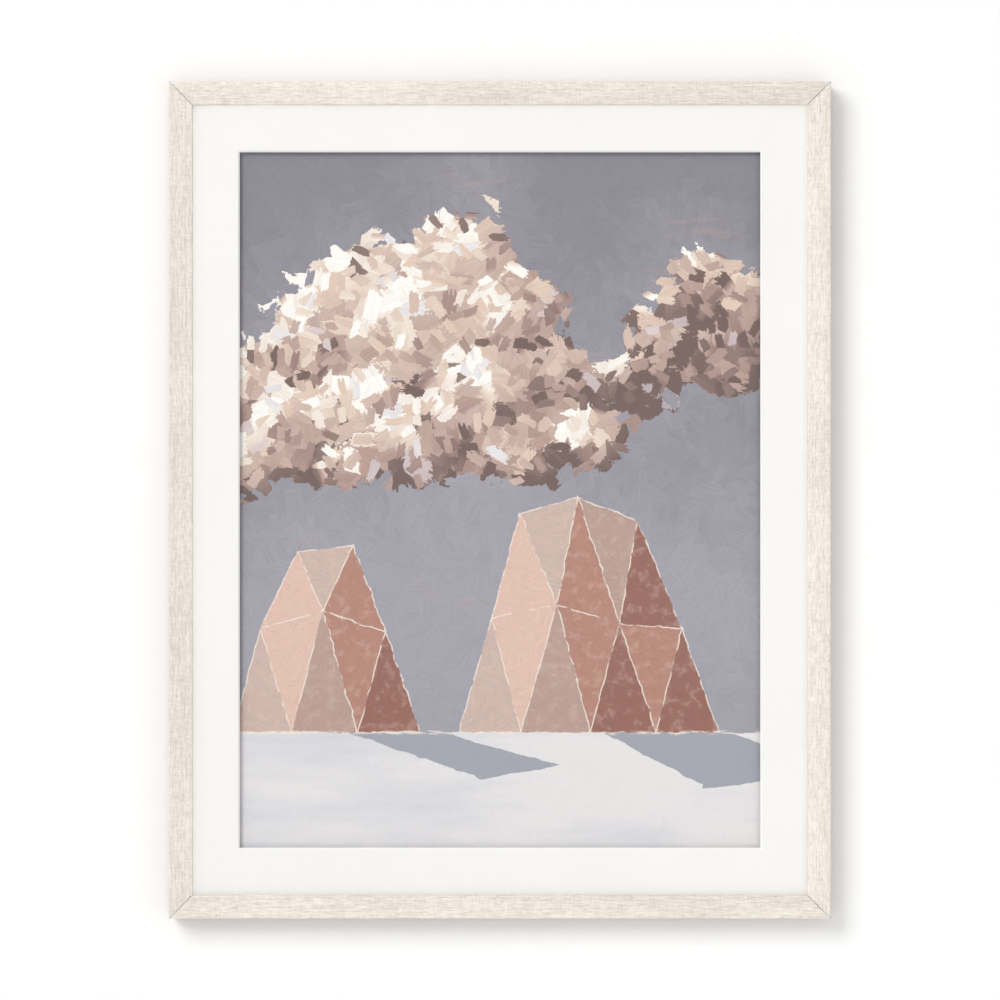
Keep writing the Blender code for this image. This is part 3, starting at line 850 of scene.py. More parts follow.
# %% [markdown]
# ## The moulding
#
# The frame is four lengths of one moulding, cut at 45 degrees and joined at the corners. Its
# face is a very shallow arch with a rounded outer edge and a finer sight edge, and behind the
# lip a step, the rabbet, holds the glass. It could be one section swept round a rectangle,
# but then the grain would turn the corner and the joints would be missing. So each length
# is modelled by itself: a plate, its outer part drawn back to full depth, its face arched,
# its edges bevelled, and its ends cut off by two slanting planes.

# %% Moulding sizes
LIP = 0.0035                        # thickness of the lip in front of the glass
WOOD_WIDTH = 0.0158                 # from the outer edge to the rabbet's wall
CROWN = 0.0004                      # how far the face's middle stands out past its edges
OUTER_EASE = 0.0016
SIGHT_EASE = 0.0010
BACK_EASE = 0.0006
MITRE_GAP = 0.00006                 # what each end is short of the corner's 45 degree plane
MITRE_ARRIS = 0.00022
FACE_STRIPS = 10
print(f"lip {1000 * LIP:.1f} mm, rabbet's wall {1000 * WOOD_WIDTH:.1f} mm from the outer edge")

# %% Model one length
def model_length(name, length, reach):
    """One mitred length below the middle of the picture, its outer edge reach away."""
    outer = centre_z - reach
    edge_y = front_y + CROWN
    bpy.ops.object.select_all(action="DESELECT")
    bpy.ops.mesh.primitive_cube_add(
        size=1, scale=(length, LIP - CROWN, face_width),
        location=(0, edge_y + (LIP - CROWN) / 2, outer + face_width / 2))
    piece = open_piece(name)
    bpy.ops.mesh.bisect(plane_co=(0, 0, outer + WOOD_WIDTH), plane_no=(0, 0, 1))
    pick(piece, "FACE", lambda p: p.y > edge_y + TINY and p.z < outer + WOOD_WIDTH + TINY)
    extrude(y=wood_back_y - front_y - LIP)
    arch_face(piece, outer, edge_y)
    ease_edges(piece, outer, edge_y)
    cut_mitres(piece, length, outer)
    tidy_shell()
    close_piece()
    return piece


def arch_face(piece, outer, edge_y):
    """Cuts the face into strips and raises the lines between them to a shallow arc."""
    half = face_width / 2
    radius = (half ** 2 + CROWN ** 2) / (2 * CROWN)
    for strip in range(1, FACE_STRIPS):
        z = outer + face_width * strip / FACE_STRIPS
        pick(piece, "FACE", lambda p: p.y < edge_y + TINY)
        bpy.ops.mesh.bisect(plane_co=(0, 0, z), plane_no=(0, 0, 1))
    for strip in range(1, FACE_STRIPS):
        z = outer + face_width * strip / FACE_STRIPS
        rise = sqrt(radius ** 2 - (z - outer - half) ** 2) - (radius - CROWN)
        pick(piece, "VERT", lambda p: p.y < edge_y + TINY and abs(p.z - z) < TINY)
        bpy.ops.transform.translate(value=(0, -rise, 0))


def ease_edges(piece, outer, edge_y):
    """Rounds the outer and sight edges, and just breaks the edge against the wall."""
    sight = outer + face_width
    eases = (
        (OUTER_EASE, 6, lambda p: abs(p.y - edge_y) < TINY and abs(p.z - outer) < TINY),
        (SIGHT_EASE, 5, lambda p: abs(p.y - edge_y) < TINY and abs(p.z - sight) < TINY),
        (BACK_EASE, 2, lambda p: abs(p.y - wood_back_y) < TINY and abs(p.z - outer) < TINY),
    )
    for ease, segments, test in eases:
        pick(piece, "EDGE", test)
        bpy.ops.mesh.bevel(offset=ease, segments=segments, affect="EDGES")


def cut_mitres(piece, length, outer):
    """Cuts both ends at 45 degrees and softens the cuts' edges where they show."""
    cut = length / 2 - MITRE_GAP * sqrt(2)
    for side in (-1, 1):
        bpy.ops.mesh.select_all(action="SELECT")
        bpy.ops.mesh.bisect(plane_co=(side * cut, 0, outer), plane_no=(side, 0, 1),
                            clear_outer=True, use_fill=True)
    lip_back = front_y + LIP

    def on_cut(p):
        return abs(abs(p.x) + p.z - outer - cut) < TINY and p.y < lip_back - TINY

    pick(piece, "EDGE", on_cut)
    bpy.ops.mesh.bevel(offset=MITRE_ARRIS, segments=2, affect="EDGES")

# %% Copy and turn
def turn_about_middle(piece, quarter_turns):
    """Turns the mesh about the picture's middle, looking from the front."""
    choose(piece)
    bpy.ops.object.mode_set(mode="EDIT")
    bpy.ops.mesh.select_all(action="SELECT")
    bpy.ops.transform.rotate(value=quarter_turns * pi / 2, orient_axis="Y",
                             center_override=(0, 0, centre_z))
    bpy.ops.object.mode_set(mode="OBJECT")


def copy_piece(piece, name):
    """A copy with a mesh of its own."""
    twin = piece.copy()
    twin.data = piece.data.copy()
    twin.name = twin.data.name = name
    bpy.context.scene.collection.objects.link(twin)
    return twin

# %% Turn the lengths into the four sides
bottom_rail = model_length("moulding_bottom", 2 * half_width, half_height)
top_rail = copy_piece(bottom_rail, "moulding_top")
left_stile = model_length("moulding_left", 2 * half_height, half_width)
right_stile = copy_piece(left_stile, "moulding_right")
turn_about_middle(top_rail, 2)
turn_about_middle(left_stile, -1)
turn_about_middle(right_stile, 1)
sides = {"frame_rail_bottom": bottom_rail, "frame_rail_top": top_rail,
         "frame_stile_left": left_stile, "frame_stile_right": right_stile}
for node, side in sides.items():
    smooth_by_angle(side, 30)
    hand_over(side, "frame", node)

# %% [markdown]
# ## The dust cover
#
# Brown paper is glued over the back to keep dust out. Glued wet, it dries tight as a drum,
# but never quite flat: it hangs in a little over the hollow between the sides and ripples
# faintly. It is a fine grid that two Displace modifiers push in, one evenly and one by a soft
# cloud texture. Both let go over the wood, where the glue holds it. Solidify gives it its
# thickness.

# %% Apply a piece's modifiers
def apply_modifiers(piece):
    choose(piece)
    for modifier in list(piece.modifiers):
        bpy.ops.object.modifier_apply(modifier=modifier.name)

# %% Model the dust cover
COVER_SAG = 0.0010
COVER_RIPPLE = 0.0009
COVER_SLACK = 0.030                 # how far in from the wood the paper is held nearly flat
cover_low, cover_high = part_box("dust_cover")
bpy.ops.object.select_all(action="DESELECT")
bpy.ops.mesh.primitive_grid_add(
    x_subdivisions=72, y_subdivisions=90, size=1, rotation=(-pi / 2, 0, 0),
    location=(0, cover_high.y, centre_z))
cover = bpy.context.object
cover.name = cover.data.name = "kraft_dust_cover"
cover.scale = (cover_high.x - cover_low.x, cover_high.z - cover_low.z, 1)
apply_place(cover)
slack = cover.vertex_groups.new(name="slack")
for vertex in cover.data.vertices:
    from_side = half_width - WOOD_WIDTH - abs(vertex.co.x)
    from_end = half_height - WOOD_WIDTH - abs(vertex.co.z - centre_z)
    share = max(0.0, min(1.0, min(from_side, from_end) / COVER_SLACK))
    slack.add([vertex.index], share * share * (3 - 2 * share), "REPLACE")
ripple = bpy.data.textures.new("paper_ripple", "CLOUDS")
ripple.noise_scale = 0.09
for name, strength, middle, texture in (("sag", -COVER_SAG, 0.0, None),
                                        ("ripple", COVER_RIPPLE, 0.5, ripple)):
    push = cover.modifiers.new(name, "DISPLACE")
    push.texture = texture
    push.strength = strength
    push.mid_level = middle
    push.vertex_group = "slack"
wall_of_paper = cover.modifiers.new("thickness", "SOLIDIFY")
wall_of_paper.thickness = cover_high.y - cover_low.y
wall_of_paper.offset = -1
apply_modifiers(cover)
cover.vertex_groups.clear()
smooth_by_angle(cover, 40)
hand_over(cover, "frame", "dust_cover")

# %% [markdown]
# ## The hangers
#
# Near each side a steel strap holds a D-shaped ring. The strap is one strip folded double
# round the ring's straight leg, and one screw goes through both layers. Folding is just what
# the spin tool does, so the strip's section is swept up the back, three quarters round the
# leg, and back down over itself.

# %% Hanger sizes
leg = Vector(frame["joints"][0]["pos_m"])
leg.x = -abs(leg.x)
hanger_spacing = 2 * abs(leg.x)
LAYER = 0.00079                     # thickness of the strip
LEG_REACH = 0.0018                  # from the leg's middle to the strip's middle
RETURN_BEND = 0.0010
FOOT_ROUND = 0.00449
EDGE_BREAK = 0.00012
strap_low, strap_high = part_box("hanger_strap_left")
strap_width = strap_high.x - strap_low.x
print("hinge at", tuple(round(1000 * c, 2) for c in leg), "mm")

# %% Spin, fill and pair
def spin(steps, degrees, centre, axis=(1, 0, 0)):
    bpy.ops.mesh.spin(steps=steps, angle=radians(degrees), center=centre, axis=axis)


def fill_end(piece, test):
    pick(piece, "EDGE", test)
    bpy.ops.mesh.edge_face_add()


def copy_to_right(left, name, distance):
    """A copy of a left piece, its mesh moved to the right."""
    right = copy_piece(left, name)
    choose(right)
    bpy.ops.object.mode_set(mode="EDIT")
    bpy.ops.mesh.select_all(action="SELECT")
    bpy.ops.transform.translate(value=(distance, 0, 0))
    bpy.ops.object.mode_set(mode="OBJECT")
    return right


def hand_over_pair(left, right, angle, node, bodies=("frame", "frame")):
    for side, piece, body in zip(("left", "right"), (left, right), bodies):
        smooth_by_angle(piece, angle)
        hand_over(piece, body, f"{node}_{side}")

# %% Fold the strap
under_y, over_y = leg.y - LEG_REACH, leg.y - RETURN_BEND
bpy.ops.object.select_all(action="DESELECT")
bpy.ops.mesh.primitive_plane_add(size=1, location=(leg.x, under_y, strap_low.z))
strap_left = open_piece("strap_left")
bpy.ops.transform.resize(value=(strap_width, LAYER, 1))
bpy.ops.mesh.delete(type="ONLY_FACE")
bpy.ops.mesh.select_all(action="SELECT")
extrude(z=leg.z - strap_low.z)
spin(24, 270, leg)
bend_centre = leg - Vector((0, 0, LEG_REACH + RETURN_BEND))
spin(8, -90, bend_centre)
extrude(z=strap_low.z - bend_centre.z)
for layer_y in (under_y, over_y):
    fill_end(strap_left, lambda p: abs(p.z - strap_low.z) < TINY and abs(p.y - layer_y) < LAYER)
tidy_shell()
for way in (-1, 1):
    pick(strap_left, "EDGE",
         lambda p: p.z < strap_low.z + TINY and way * (p.x - leg.x) > strap_width / 2 - TINY)
    bpy.ops.mesh.bevel(offset=FOOT_ROUND, segments=10, affect="EDGES")
close_piece()

# %% Break the strap's edges and copy it
edges = strap_left.modifiers.new("edges", "BEVEL")
edges.width = EDGE_BREAK
edges.segments = 2
edges.limit_method = "ANGLE"
edges.angle_limit = radians(50)
apply_modifiers(strap_left)
print("strap", in_mm(size_of(strap_left)), "solid", in_mm((strap_low, strap_high)))
strap_right = copy_to_right(strap_left, "strap_right", hanger_spacing)
hand_over_pair(strap_left, strap_right, 35, "hanger_strap")

# %% [markdown]
# ## The rings
#
# A D ring is round wire bent round a former. A circle of points is swept along the same way:
# straight along the leg, a tight turn, straight up, half round the bow, and back. The ring
# leans a little onto the paper, as it does on the wall.

# %% Bend the ring
WIRE_R = 0.0011
WIRE_SIDES = 20
RING_HALF = 0.0062                  # from the middle of the D to its side, at the wire's middle
RING_CORNER = 0.0015
RING_STRAIGHT = 0.0045              # the straight part of each side
RING_LEAN = 5
bpy.ops.object.select_all(action="DESELECT")
bpy.ops.mesh.primitive_circle_add(vertices=WIRE_SIDES, radius=WIRE_R, location=leg,
                                  rotation=(0, pi / 2, 0))
ring_left = open_piece("ring_left_wire")
half_leg = RING_HALF - RING_CORNER
side_way = (0, 1, 0)
extrude(x=half_leg)
spin(8, 90, leg + Vector((half_leg, 0, RING_CORNER)), side_way)
extrude(z=RING_STRAIGHT)
spin(32, 180, leg + Vector((0, 0, RING_CORNER + RING_STRAIGHT)), side_way)
extrude(z=-RING_STRAIGHT)
spin(8, 90, leg + Vector((-half_leg, 0, RING_CORNER)), side_way)
extrude(x=half_leg)
tidy_shell()
bpy.ops.transform.rotate(value=radians(-RING_LEAN), orient_axis="X", center_override=leg)
close_piece()
ring_right = copy_to_right(ring_left, "ring_right_wire", hanger_spacing)
hand_over_pair(ring_left, ring_right, 60, "hanger_ring",
               ("ring_left", "ring_right"))

# %% [markdown]
# ## The screws
#
# A pan-head screw holds each strap. Its head is a short cylinder whose upper edge is bevelled
# so far that it becomes a flat dome. The driver's cross is cut with two tapered blades, and
# the shank is drawn out of the underside in steps down to its point.

# %% Turn the screw
HEAD_ROUND = 0.0016
SHANK_R = 0.0015
POINT_LENGTH = 2 * SHANK_R
HEAD_UNDERSIDE_Y = -0.00305         # as on the solid, a hair above the strap
CROSS_WIDTH = 0.0008
CROSS_LENGTH = 0.0036
CROSS_DEEP = 0.0011
CROSS_TAPER = 0.55                  # the width of the cross at its floor, as a share of its top
screw_low, screw_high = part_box("hanger_screw_left")
head_r = (screw_high.x - screw_low.x) / 2
head_height = screw_high.y - HEAD_UNDERSIDE_Y
screw_x = (screw_low.x + screw_high.x) / 2
screw_z = (screw_low.z + screw_high.z) / 2
bpy.ops.object.select_all(action="DESELECT")
bpy.ops.mesh.primitive_cylinder_add(
    vertices=40, radius=head_r, depth=head_height, rotation=(-pi / 2, 0, 0),
    location=(screw_x, HEAD_UNDERSIDE_Y + head_height / 2, screw_z))
screw_left = open_piece("screw_left")
pick(screw_left, "EDGE", lambda p: p.y > screw_high.y - TINY)
bpy.ops.mesh.bevel(offset=HEAD_ROUND, segments=8, affect="EDGES")
pick(screw_left, "FACE", lambda p: p.y < HEAD_UNDERSIDE_Y + TINY)
bpy.ops.mesh.inset(thickness=head_r - SHANK_R)
extrude(y=screw_low.y + POINT_LENGTH - HEAD_UNDERSIDE_Y)
extrude(y=-POINT_LENGTH)
bpy.ops.mesh.merge(type="CENTER")
tidy_shell()
close_piece()

# %% Cut the cross
def cut_cross(screw):
    for size in ((CROSS_LENGTH, CROSS_WIDTH), (CROSS_WIDTH, CROSS_LENGTH)):
        bpy.ops.object.select_all(action="DESELECT")
        bpy.ops.mesh.primitive_cube_add(
            size=1, scale=(size[0], 2 * CROSS_DEEP, size[1]),
            location=(screw_x, screw_high.y, screw_z))
        blade = open_piece("cross_blade")
        pick(blade, "FACE", lambda p: p.y < screw_high.y)
        bpy.ops.transform.resize(value=(CROSS_TAPER, 1, CROSS_TAPER))
        close_piece()
        cut = screw.modifiers.new("cross", "BOOLEAN")
        cut.object = blade
        cut.solver = "EXACT"
        apply_modifiers(screw)
        bpy.data.objects.remove(blade, do_unlink=True)


cut_cross(screw_left)
screw_right = copy_to_right(screw_left, "screw_right", hanger_spacing)
hand_over_pair(screw_left, screw_right, 30, "hanger_screw")

# %% [markdown]
# ## The bumpers
#
# Two soft domes at the bottom corners keep the frame off the wall. Each is a ball cut off
# above and below, then stretched to its height: the lower cut is the foot that is stuck on,
# and the upper cut is the flat that touches the wall.

# %% Cut the bumpers from a ball
bumper_low, bumper_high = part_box("bumper_left")
bumper_r = (bumper_high.x - bumper_low.x) / 2
BUMPER_FLAT_R = 0.0025
BUMPER_EDGE = 0.0003
bumper_x = (bumper_low.x + bumper_high.x) / 2
bumper_z = (bumper_low.z + bumper_high.z) / 2
bumper_height = bumper_high.y - bumper_low.y
cap_height = sqrt(bumper_r ** 2 - BUMPER_FLAT_R ** 2)
bpy.ops.object.select_all(action="DESELECT")
bpy.ops.mesh.primitive_uv_sphere_add(
    segments=48, ring_count=32, radius=bumper_r, rotation=(-pi / 2, 0, 0),
    location=(bumper_x, bumper_low.y, bumper_z))
bumper_left = open_piece("bumper_dome_left")
bpy.ops.mesh.bisect(plane_co=(0, bumper_low.y, 0), plane_no=(0, -1, 0), clear_outer=True,
                    use_fill=True)
bpy.ops.mesh.select_all(action="SELECT")
flat_y = bumper_low.y + cap_height
bpy.ops.mesh.bisect(plane_co=(0, flat_y, 0), plane_no=(0, 1, 0), clear_outer=True,
                    use_fill=True)
pick(bumper_left, "EDGE", lambda p: p.y > flat_y - TINY)
bpy.ops.mesh.bevel(offset=BUMPER_EDGE, segments=3, affect="EDGES")
bpy.ops.mesh.select_all(action="SELECT")
bpy.ops.transform.resize(value=(1, bumper_height / cap_height, 1),
                         center_override=(bumper_x, bumper_low.y, bumper_z))
tidy_shell()
close_piece()
bumper_right = copy_to_right(bumper_left, "bumper_dome_right", 2 * abs(bumper_x))
hand_over_pair(bumper_left, bumper_right, 40, "bumper")

# %% [markdown]
# ## The moulding's finish
#
# The wood is washed with a warm cream and brushed while wet, so pale and taupe streaks run
# along each length, with fine flecks where the grain shows and a faint linen-like cross
# brushing. Large pale and dim patches lie under that. The same effect is needed twice, with
# the grain lying across and upright, so it is a group that is told where the grain runs.

# %% Build the washed wood group
WASH = screen(234, 226, 215)
WASH_PALE = screen(247, 240, 231)
WASH_DIM = screen(218, 209, 198)
FLECK = screen(196, 184, 171)


def make_wash_group():
    gives = [("Colour", "colour"), ("Height", "number"), ("Roughness", "number")]
    group, start, end = new_group("washed_wood", [("Grain", "vector")], gives)
    grain = start["Grain"]
    stroke = fibres(group, grain, (110, 720, 720), 3.0, 0.6)
    brush = fibres(group, grain, (38, 900, 900), 2.0, 0.5)
    cross = fibres(group, grain, (820, 120, 120), 2.0, 0.6)
    broad = noise(group, grain, 8.0, 2.0, 0.5)
    fleck = fibres(group, grain, (330, 760, 760), 2.0, 0.6)
    tone = number(group, "MULTIPLY_ADD", brush, 0.6, stroke)
    tone = number(group, "MULTIPLY_ADD", cross, 0.45, tone)
    tone = number(group, "MULTIPLY_ADD", broad, 0.30, tone)
    tone = remap(group, tone, 0.90, 1.45)
    colour = ramp(group, tone, [(0.10, WASH_DIM), (0.50, WASH), (0.90, WASH_PALE)])
    flecks = remap(group, fleck, 0.60, 0.72)
    colour = mix(group, number(group, "MULTIPLY", flecks, 0.55), colour, FLECK)
    join(group, colour, end["Colour"])
    height = number(group, "MULTIPLY_ADD", cross, 0.35, stroke)
    height = number(group, "SUBTRACT", height, number(group, "MULTIPLY", flecks, 0.5))
    join(group, height, end["Height"])
    join(group, remap(group, tone, 0.0, 1.0, 0.62, 0.50), end["Roughness"])
    return group


wash_group = make_wash_group()
tell("washed_wood", wash_group)

# %% [markdown]
# Raw wood shows where the wash stops, on the back and in the rabbet, and the cut ends are
# darker, as end grain soaks up glue and dust; they show as the hairline at each mitre. Both
# are further materials in the same pieces, given to faces by the way they point.
#
# In the photograph the lip throws no shadow on the mat. So the lip has a copy of the wash
# that shadow rays pass; the full wood beside it still shades the wall.

# %% Make the washed and the raw wood
RAW_WOOD = screen(206, 172, 130)
RAW_WOOD_DARK = screen(172, 134, 94)
END_GRAIN = screen(150, 141, 130)
END_GRAIN_DARK = screen(104, 96, 88)
# How dark and how light the painted shade across each face goes
PAINTED_SHADE_DARK = 0.955
PAINTED_SHADE_LIGHT = 1.02


def grain_place(tree, upright):
    """The place with X along the grain. An upright length's grain runs along Z."""
    parts = add(tree, "SeparateXYZ", place_of(tree)).outputs
    order = (parts[2], parts[1], parts[0]) if upright else (parts[0], parts[1], parts[2])
    return add(tree, "CombineXYZ", *order).outputs[0], parts


def painted_shade_across(tree, parts, upright):
    """Painted shade: the stiles darken a little towards the outside, and the rails towards the
    inside.
    """
    side, centre, reach = (0, 0.0, half_width) if upright else (2, centre_z, half_height)
    off = number(tree, "ABSOLUTE", number(tree, "SUBTRACT", parts[side], centre))
    darker, lighter = (reach, reach - face_width) if upright else (reach - face_width, reach)
    return remap(tree, off, darker, lighter, PAINTED_SHADE_DARK, PAINTED_SHADE_LIGHT)


def make_wash(name, upright, passes_shadow_rays):
    material, tree, inputs = new_finish(name, shine=0.35)
    grain, parts = grain_place(tree, upright)
    wash = use_group(tree, wash_group, Grain=grain)
    # Painted shade across the face, darker towards one edge
    painted_shade = painted_shade_across(tree, parts, upright)
    join(tree, vector(tree, "SCALE", wash["Colour"], painted_shade), inputs["Base Color"])
    join(tree, wash["Roughness"], inputs["Roughness"])
    bump(tree, inputs, wash["Height"], 0.00006, 0.5)
    if passes_shadow_rays:
        let_through(tree, add(tree, "LightPath").outputs["Is Shadow Ray"])
    tell(name, tree)
    return material


def make_raw_wood(name, upright, dark, pale):
    material, tree, inputs = new_finish(name, 0.75)
    grain = grain_place(tree, upright)[0]
    fibre = fibres(tree, grain, (25, 900, 900), 4.0, 0.6)
    rings = fibres(tree, grain, (3, 160, 160), 2.0, 0.5)
    tone = number(tree, "MULTIPLY_ADD", rings, 0.8, fibre)
    colour = ramp(tree, remap(tree, tone, 0.6, 1.2), [(0.0, dark), (1.0, pale)])
    join(tree, colour, inputs["Base Color"])
    bump(tree, inputs, fibre, 0.0001, 0.5)
    tell(name, tree)
    return material

# %% Dress the four sides
end_grain = make_raw_wood("mitre_end_grain", False, END_GRAIN_DARK, END_GRAIN)
lip_back_y = front_y + LIP + TINY


def dress_side(side, wash, raw, lip):
    """Each face gets one of four materials, by where it lies and the way it points."""
    for material in (wash, raw, lip, end_grain):
        side.data.materials.append(material)
    for face in side.data.polygons:
        middle = face.center
        inward = max(abs(middle.x) - half_width, abs(middle.z - centre_z) - half_height)
        past_wood = inward < TINY - WOOD_WIDTH
        on_back = face.normal.y > 0.5
        on_cut = abs(face.normal.x) > 0.25 and abs(face.normal.z) > 0.25
        unwashed = (on_back and not past_wood) or (past_wood and middle.y > lip_back_y)
        face.material_index = 3 if on_cut else 1 if unwashed else 2 if past_wood else 0


for way, upright, pair in (("level", False, (bottom_rail, top_rail)),
                           ("upright", True, (left_stile, right_stile))):
    wash = make_wash(f"washed_wood_{way}", upright, passes_shadow_rays=False)
    lip = make_wash(f"washed_lip_{way}", upright, passes_shadow_rays=True)
    raw = make_raw_wood(f"raw_wood_{way}", upright, RAW_WOOD_DARK, RAW_WOOD)
    for side in pair:
        dress_side(side, wash, raw, lip)

# %% [markdown]
# ## Paper, board and glass
#
# The mat is thick white board with a soft tooth, and its bevel shows the whiter core. Its
# fibres are too fine to see from across a room, but close up they keep it from looking like
# plastic. The spacers, mount board and tapes share the same paper group with other values.

# %% Build the paper group
def make_paper_group():
    takes = [("Place", "vector"), ("Colour", "colour"), ("Depth", "number")]
    gives = [("Colour", "colour"), ("Height", "number")]
    group, start, end = new_group("paper_tooth", takes, gives)
    tooth = noise(group, start["Place"], 1400.0, 1.0, 0.6)
    fibre = fibres(group, start["Place"], (300, 300, 1100), 1.0)
    cloud = noise(group, start["Place"], 22.0, 0.0, 0.5)
    tone = number(group, "MULTIPLY_ADD", cloud, 0.8, tooth)
    tone = number(group, "MULTIPLY_ADD", fibre, 0.6, tone)
    tone = remap(group, tone, 0.8, 1.6, -1.0, 1.0)
    tone = number(group, "MULTIPLY_ADD", tone, start["Depth"], 1.0)
    join(group, vector(group, "SCALE", start["Colour"], tone), end["Colour"])
    join(group, tooth, end["Height"])
    return group


paper_group = make_paper_group()
tell("paper_tooth", paper_group)


def make_paper(name, colour, depth, relief=0.00002, roughness=0.9):
    material, tree, inputs = new_finish(name, roughness, shine=0.25)
    paper = use_group(tree, paper_group, Place=place_of(tree), Colour=colour, Depth=depth)
    join(tree, paper["Colour"], inputs["Base Color"])
    bump(tree, inputs, paper["Height"], relief, 0.5)
    tell(name, tree)
    return material, tree, inputs


def dress(node, material):
    """Gives a solid from the CAD model its finish."""
    solid = frame["nodes"][node]
    solid.data.materials.clear()
    solid.data.materials.append(material)

# %% Finish the mat, the spacers, the board and the tapes
MAT_WHITE = screen(246, 244, 242)
CORE_WHITE = screen(252, 251, 249)
mat_paper, tree, inputs = make_paper("mat_paper", MAT_WHITE, 0.012)
facing = add(tree, "SeparateXYZ", add(tree, "NewGeometry").outputs["True Normal"]).outputs[1]
on_bevel = number(tree, "GREATER_THAN", facing, -0.9)
face_colour = inputs["Base Color"].links[0].from_socket
join(tree, mix(tree, on_bevel, face_colour, CORE_WHITE), inputs["Base Color"])
dress("mat_board", mat_paper)
foam_paper = make_paper("foam_board", screen(238, 238, 236), 0.02)[0]
for side in ("top", "bottom", "left", "right"):
    dress(f"mat_spacer_{side}", foam_paper)
dress("mount_board", make_paper("mount_board_paper", screen(236, 233, 226), 0.02)[0])
tape_paper = make_paper("gummed_tape", screen(232, 226, 210), 0.04, 0.00003, 0.7)[0]
for side in ("left", "right"):
    dress(f"print_hinge_{side}", tape_paper)

# %% [markdown]
# ### The glass
#
# Picture glass is thin and nearly invisible from straight in front; from the side it takes a
# soft gloss. Light has to reach the print through it and leave again, so shadow rays and
# scattered light pass it untouched; only what the camera sees is bent and mirrored.

# %% Finish the glass
GLASS_TINT = (0.998, 1.0, 0.999, 1)
picture_glass, tree, inputs = new_finish("picture_glass_clear", 0.0, shine=0.3)
inputs["Base Color"].default_value = GLASS_TINT
inputs["Transmission Weight"].default_value = 1.0
inputs["IOR"].default_value = 1.5
rays = add(tree, "LightPath").outputs
passing = number(tree, "MAXIMUM", rays["Is Shadow Ray"], rays["Is Diffuse Ray"])
let_through(tree, passing, GLASS_TINT)
dress("glazing", picture_glass)
tell("picture_glass_clear", tree)

# %% [markdown]
# ### Kraft paper and fibre board
#
# Kraft paper is brown with darker long fibres and faint ribs from the machine. Where it is
# glued to the wood it lies darker, which shows the width of the frame's sides through it.
# Along the crease at the wood's inner edge it is darkened by a painted shade.

# %% Finish the dust cover
KRAFT = screen(181, 149, 111)
KRAFT_DARK = screen(153, 121, 86)
GLUE_EDGE = 0.0006                  # half the width over which the glued rim darkens
CREASE = 0.0022                     # how far the crease at the wood's inner edge reaches
GLUED_DARKER = 0.16
# How much the painted shade along the crease darkens the paper
CREASE_SHADE_DARKER = 0.12
kraft, tree, inputs = new_finish("kraft_paper_brown", 0.8, shine=0.3)
place = place_of(tree)
ribs = fibres(tree, place, (620, 20, 9), 2.0, 0.5)
fibre = fibres(tree, place, (700, 700, 210), 4.0, 0.65)
cloud = noise(tree, place, 14.0, 3.0, 0.55)
tone = number(tree, "MULTIPLY_ADD", cloud, 0.9, fibre)
tone = number(tree, "MULTIPLY_ADD", ribs, 0.5, tone)
parts = add(tree, "SeparateXYZ", place).outputs
across = number(tree, "SUBTRACT", half_width - WOOD_WIDTH, number(tree, "ABSOLUTE", parts[0]))
middle = number(tree, "ABSOLUTE", number(tree, "SUBTRACT", parts[2], centre_z))
upward = number(tree, "SUBTRACT", half_height - WOOD_WIDTH, middle)
inner = number(tree, "MINIMUM", across, upward)
glued = remap(tree, inner, GLUE_EDGE, -GLUE_EDGE)
tone = number(tree, "MULTIPLY_ADD", glued, -GLUED_DARKER, tone)
# Painted shade along the crease at the wood's inner edge
crease_shade = remap(tree, number(tree, "ABSOLUTE", inner), CREASE, 0.0)
tone = number(tree, "MULTIPLY_ADD", crease_shade, -CREASE_SHADE_DARKER, tone)
colour = ramp(tree, remap(tree, tone, 0.75, 1.55), [(0.0, KRAFT_DARK), (1.0, KRAFT)])
join(tree, colour, inputs["Base Color"])
bump(tree, inputs, number(tree, "ADD", ribs, fibre), 0.00005, 0.6)
cover.data.materials.append(kraft)
tell("kraft_paper_brown", tree)

# %% Finish the backing board
fibre_board, tree, inputs = new_finish("brown_fibre_board", 0.85)
chips = noise(tree, place_of(tree), 420.0, 4.0, 0.7)
colour = ramp(tree, chips, [(0.35, screen(92, 70, 50)), (0.65, screen(138, 110, 82))])
join(tree, colour, inputs["Base Color"])
bump(tree, inputs, chips, 0.0001, 0.6)
dress("backing_board", fibre_board)
tell("brown_fibre_board", tree)

# %% [markdown]
# ## Steel and rubber
#
# All the small steel parts share one group: fine scratches along one way, soft blotches of
# uneven plating, and both feed the roughness more than the colour, as on real plated steel.

# %% Build the plated steel group
def make_steel_group():
    takes = [("Place", "vector"), ("Colour", "colour"), ("Dull", "number")]
    gives = [("Colour", "colour"), ("Roughness", "number"), ("Height", "number")]
    group, start, end = new_group("plated_steel", takes, gives)
    scratch = fibres(group, start["Place"], (900, 2600, 260), 3.0)
    blotch = noise(group, start["Place"], 380.0, 3.0, 0.6)
    tone = number(group, "MULTIPLY_ADD", blotch, 0.30, 0.85)
    join(group, vector(group, "SCALE", start["Colour"], tone), end["Colour"])
    rough = number(group, "MULTIPLY_ADD", scratch, 0.22, start["Dull"])
    rough = number(group, "MULTIPLY_ADD", blotch, 0.16, rough)
    join(group, rough, end["Roughness"])
    join(group, number(group, "ADD", scratch, blotch), end["Height"])
    return group


steel_group = make_steel_group()
tell("plated_steel", steel_group)


def make_steel(name, colour, dull):
    material, tree, inputs = new_finish(name, metallic=1.0)
    steel = use_group(tree, steel_group, Place=place_of(tree), Colour=colour, Dull=dull)
    join(tree, steel["Colour"], inputs["Base Color"])
    join(tree, steel["Roughness"], inputs["Roughness"])
    bump(tree, inputs, steel["Height"], 0.00001, 0.4)
    tell(name, tree)
    return material

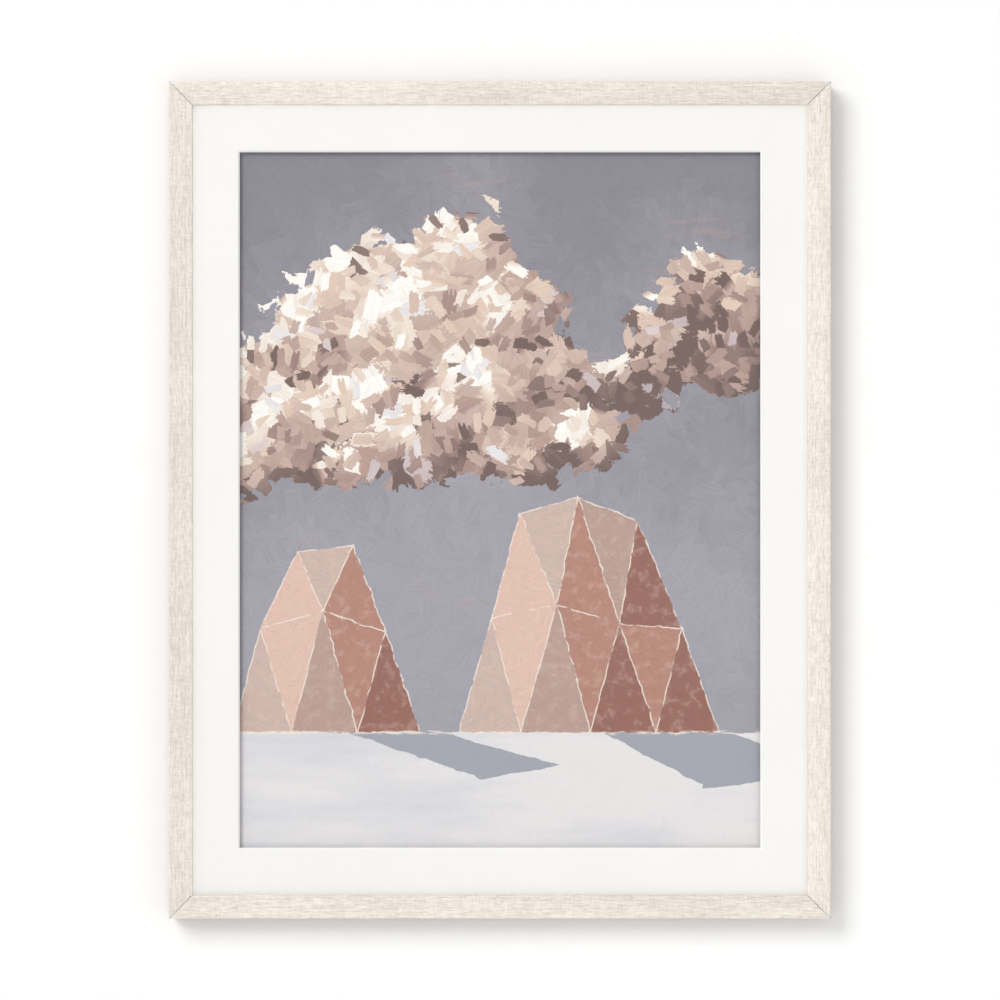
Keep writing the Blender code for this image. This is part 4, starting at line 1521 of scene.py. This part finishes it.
# %% Finish the hangers, screws, wedges and points
nickel = make_steel("nickel_plate", (0.72, 0.70, 0.65, 1), 0.14)
zinc = make_steel("zinc_plate", (0.68, 0.67, 0.62, 1), 0.24)
blued = make_steel("blued_spring_steel", (0.22, 0.24, 0.28, 1), 0.28)
dull_steel = make_steel("dull_steel", (0.50, 0.50, 0.49, 1), 0.34)
for piece in (strap_left, strap_right, ring_left, ring_right):
    piece.data.materials.append(nickel)
for piece in (screw_left, screw_right):
    piece.data.materials.append(zinc)
for node in frame["nodes"]:
    if node.startswith("corner_wedge"):
        dress(node, blued)
    if node.startswith("framer_point"):
        dress(node, dull_steel)

# %% Finish the bumpers
rubber, tree, inputs = new_finish("black_bumper_rubber", 0.6)
place = place_of(tree)
grit = noise(tree, place, 2600.0, 2.0, 0.6)
dust = remap(tree, noise(tree, place, 700.0, 3.0, 0.6), 0.5, 0.75)
colour = mix(tree, number(tree, "MULTIPLY", dust, 0.5), (0.018, 0.018, 0.018, 1),
             (0.09, 0.085, 0.08, 1))
join(tree, colour, inputs["Base Color"])
join(tree, remap(tree, grit, 0.3, 0.7, 0.5, 0.75), inputs["Roughness"])
bump(tree, inputs, grit, 0.00003, 0.5)
for piece in (bumper_left, bumper_right):
    piece.data.materials.append(rubber)
tell("black_bumper_rubber", tree)

# %% [markdown]
# ## The print's finish
#
# The picture is printed on matt art paper, so its brush marks have colour but no relief; only
# the paper's own tooth is felt.

# %% Finish the print
print_paper, tree, inputs = new_finish("printed_art_paper", 0.8, shine=0.2)
picture = paint_picture(tree)
tooth = noise(tree, place_of(tree), 1500.0, 1.0, 0.6)
speck = remap(tree, tooth, 0.3, 0.7, 0.97, 1.03)
join(tree, vector(tree, "SCALE", picture, speck), inputs["Base Color"])
bump(tree, inputs, tooth, 0.00002, 0.4)
dress("art_print", print_paper)
print(len(bpy.data.materials), "finishes,", len(bpy.data.node_groups), "node groups")

# %% [markdown]
# ## Sizes
#
# The boxes of the solids and of the dressed picture are both printed. The dressed picture
# has to stay inside the solids' own box.

# %% Print the sizes
visual_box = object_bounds()
sizes = {"cad": [list(corner) for corner in cad_box],
         "visual": [list(corner) for corner in visual_box]}
for name, box in sizes.items():
    print(name, "box in mm", in_mm(box))
